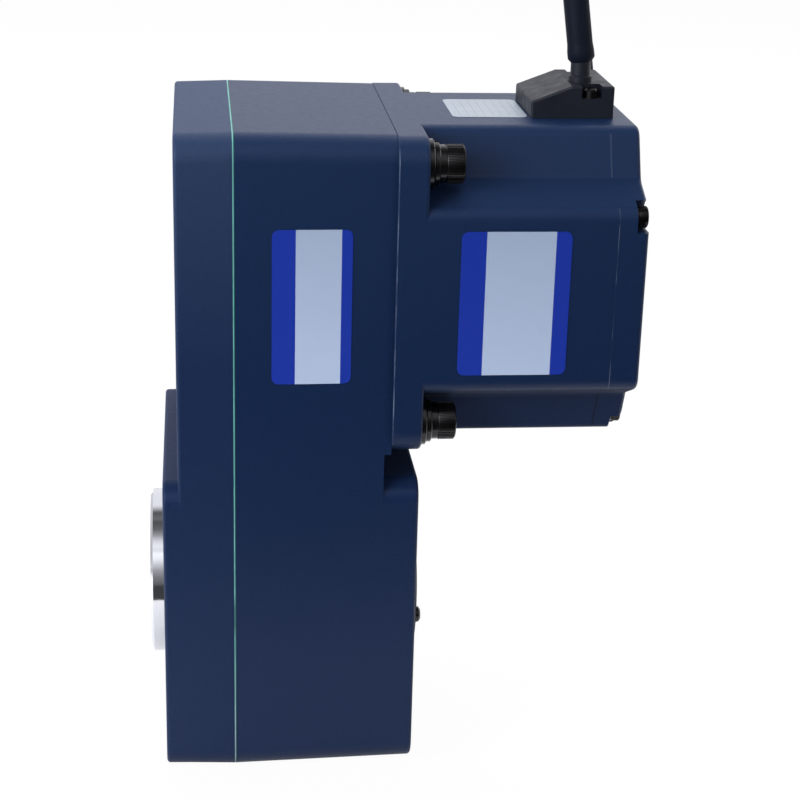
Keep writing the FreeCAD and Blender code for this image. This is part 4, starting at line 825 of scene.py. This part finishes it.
class GEARMOTOR_OT_motor_lead(bpy.types.Operator):
    """Run the sleeved motor lead from the outlet over to its plug behind the motor"""
    bl_idname = "gearmotor.motor_lead"
    bl_label = "Motor lead"

    def execute(self, context):
        sizes = context.scene.gear_motor_sizes
        curve = bpy.data.curves.new("lead", "CURVE")
        curve.dimensions = "3D"
        spline = curve.splines.new("NURBS")
        spline.points.add(len(LEAD_ROUTE) - 1)
        for point, place in zip(spline.points, LEAD_ROUTE):
            point.co = (*place, 1.0)
        spline.order_u = 3
        spline.use_endpoint_u = True
        spline.resolution_u = 10
        curve.bevel_depth = sizes.lead_diameter / 2
        curve.bevel_resolution = 6
        curve.use_fill_caps = True
        sleeve = sleeve_finish(context.scene.gear_motor_colours)
        curve.materials.append(sleeve)
        lead = bpy.data.objects.new("lead", curve)
        context.scene.collection.objects.link(lead)
        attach(lead, HOUSING)
        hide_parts("motor_cable")
        self.sleeve_end(sizes, sleeve)
        return {"FINISHED"}

    def sleeve_end(self, sizes, material):
        """The swollen lower end of the sleeve, drawn in over the neck of the outlet."""
        taper = sizes.sleeve_taper
        swollen = sizes.lead_diameter / 2 * 1.06
        mouth = swollen * 0.78
        belly = taper * 1.6
        shoulder = taper * 2
        shrink = 0.94
        deselect()
        bpy.ops.mesh.primitive_cone_add(
            vertices=48, radius1=mouth, radius2=swollen, depth=taper, location=(0, 0, -taper / 2))
        end = made("sleeve_end", material)
        settle(end)
        pick(end, lambda f: f.normal.z > 0.9)
        push_out(z=belly)
        push_out(z=shoulder)
        bpy.ops.transform.resize(value=(shrink, shrink, 1))
        done()
        way = Vector(LEAD_ROUTE[1]) - Vector(LEAD_ROUTE[0])
        end.rotation_euler = way.to_track_quat("Z", "Y").to_euler()
        end.location = LEAD_ROUTE[0]
        settle(end)
        bpy.ops.object.shade_smooth_by_angle(angle=SLEEVE_SMOOTH)
        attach(end, HOUSING)


class GEARMOTOR_OT_finishes(bpy.types.Operator):
    """Give every CAD node of the gear motor its finish"""
    bl_idname = "gearmotor.finishes"
    bl_label = "Finishes"

    def execute(self, context):
        colours = context.scene.gear_motor_colours
        # The cover's paint is lighter near its top than that of the other castings: painted light from above
        # and the left.
        cover_top_lit_paint = paint_finish("navy_paint_cover", colours, colours.cover_top_lit_paint, roughness=0.52)
        case_paint = paint_finish(
            "navy_paint", colours, colours.top_lit_paint, roughness=0.42, recess_shade=UNDER_MOTOR)
        motor_paint = paint_finish(
            "navy_paint_motor", colours, colours.top_lit_paint, roughness=0.42, recess_shade=NOTCHES,
            hairlines=HAIRLINES, notch_lines=NOTCH_LINES)
        finishes = {
            cover_top_lit_paint: ("front_cover",),
            case_paint: ("rear_case",),
            motor_paint: ("motor_housing", "motor_end_cap"),
            gasket_finish(colours): ("case_gasket",),
            black_steel_finish(colours): (
                "case_screws", "end_cap_screws", "motor_mount_screws", "spring_washers", "flat_washers",
                "bore_cover_screws", "outlet_screws", "output_retaining_rings"),
            turned_finish("turned_steel", colours.bright_steel, low=0.07, high=0.12): (
                "spigot_ring", "hollow_shaft", "dowel_pins", "wave_washer"),
            turned_finish("bearing_steel", colours.bearing_steel, low=0.2, high=0.3): (
                "output_bearing_outers", "shaft_bearing_outers", "motor_bearing_outers",
                "output_bearing_inners", "second_bearing_inners", "first_bearing_inners",
                "rotor_bearing_inners"),
            gear_finish(colours): (
                "output_gear", "output_key", "second_gear", "second_shaft", "first_gear", "first_shaft",
                "rotor_shaft"),
            rubber_finish(colours): (
                "front_oil_seal", "rear_oil_seal", "pinion_oil_seal", "motor_o_ring"),
            stack_finish(colours): ("stator_core", "rotor_core"),
            copper_finish(colours): ("stator_windings",),
            plated_finish(colours): ("rotor_magnets",),
            board_finish(colours): ("hall_board",),
            plastic_finish("moulded_black_plastic", colours.plastic, ior=1.4): (
                "cable_outlet_block", "cable_strain_relief"),
            plastic_finish("matt_black_plastic", colours.rubber, ior=1.25): ("rear_bore_cover",),
            nylon_finish(colours): ("cable_connector",),
        }
        for material, nodes in finishes.items():
            for node in nodes:
                wear(node, material)
        return {"FINISHED"}


class GEARMOTOR_OT_socket_screws(bpy.types.Operator):
    """Model the knurled socket screws of the flange, the end cap and the cover"""
    bl_idname = "gearmotor.socket_screws"
    bl_label = "Socket screws"

    def execute(self, context):
        sizes = context.scene.gear_motor_sizes
        material = bpy.data.materials["black_oxide_steel"]
        for kind in SCREWS:
            group = repeat_at(knurled_screw(kind, sizes, material), kind.spots)
            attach(group, HOUSING)
            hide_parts(kind.node)
        return {"FINISHED"}


class GEARMOTOR_OT_label_plates(bpy.types.Operator):
    """Lay the bare label plates on the case, the motor side and the motor top"""
    bl_idname = "gearmotor.label_plates"
    bl_label = "Label plates"

    def execute(self, context):
        sizes = context.scene.gear_motor_sizes
        colours = context.scene.gear_motor_colours
        blue = foil_finish("label_blue_foil", colours.label_blue, fade=0.05)
        pale = foil_finish("label_pale_foil", colours.label_pale, fade=0.22)
        draft = sizes.case_draft
        case_wall = CASE_LOW.y + (CASE_LABEL.x - CASE_LOW.x) * math.tan(draft)
        for label, wall, tilt in ((CASE_LABEL, case_wall, draft), (MOTOR_LABEL, MOTOR_LOW.y, 0.0)):
            centre = (label.x, wall - LABEL_GAP, label.z)
            upright = (math.pi / 2, 0, tilt)
            piece = plate(label.piece, centre, label.size, upright, sizes, (blue, pale), label.cuts)
            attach(piece, HOUSING)
        centre = (*TOP_LABEL_PLACE, MOTOR_HIGH.z + LABEL_GAP)
        white = ruled_finish(colours)
        piece = plate("top_label", centre, TOP_LABEL_SIZE, (0, 0, 0), sizes, (white,))
        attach(piece, HOUSING)
        return {"FINISHED"}


class GEARMOTOR_PT_panel(bpy.types.Panel):
    """Lists the steps that dress the gear motor"""
    bl_idname = "GEARMOTOR_PT_panel"
    bl_label = "Gear motor"
    bl_space_type = "VIEW_3D"
    bl_region_type = "UI"
    bl_category = "Gear motor"

    def draw(self, context):
        for step in STEPS:
            self.layout.operator(step.bl_idname)


STEPS = (
    GEARMOTOR_OT_studio,
    GEARMOTOR_OT_motor_lead,
    GEARMOTOR_OT_finishes,
    GEARMOTOR_OT_socket_screws,
    GEARMOTOR_OT_label_plates,
)
CLASSES = (GearMotorSizes, GearMotorColours) + STEPS + (GEARMOTOR_PT_panel,)


def register():
    for item in CLASSES:
        bpy.utils.register_class(item)
    bpy.types.Scene.gear_motor_sizes = PointerProperty(type=GearMotorSizes)
    bpy.types.Scene.gear_motor_colours = PointerProperty(type=GearMotorColours)


def unregister():
    del bpy.types.Scene.gear_motor_colours
    del bpy.types.Scene.gear_motor_sizes
    for item in reversed(CLASSES):
        bpy.utils.unregister_class(item)


def main():
    register()
    bpy.ops.gearmotor.studio()
    bpy.ops.gearmotor.motor_lead()
    bpy.ops.gearmotor.finishes()
    bpy.ops.gearmotor.socket_screws()
    bpy.ops.gearmotor.label_plates()


if __name__ == "__main__":
    main()
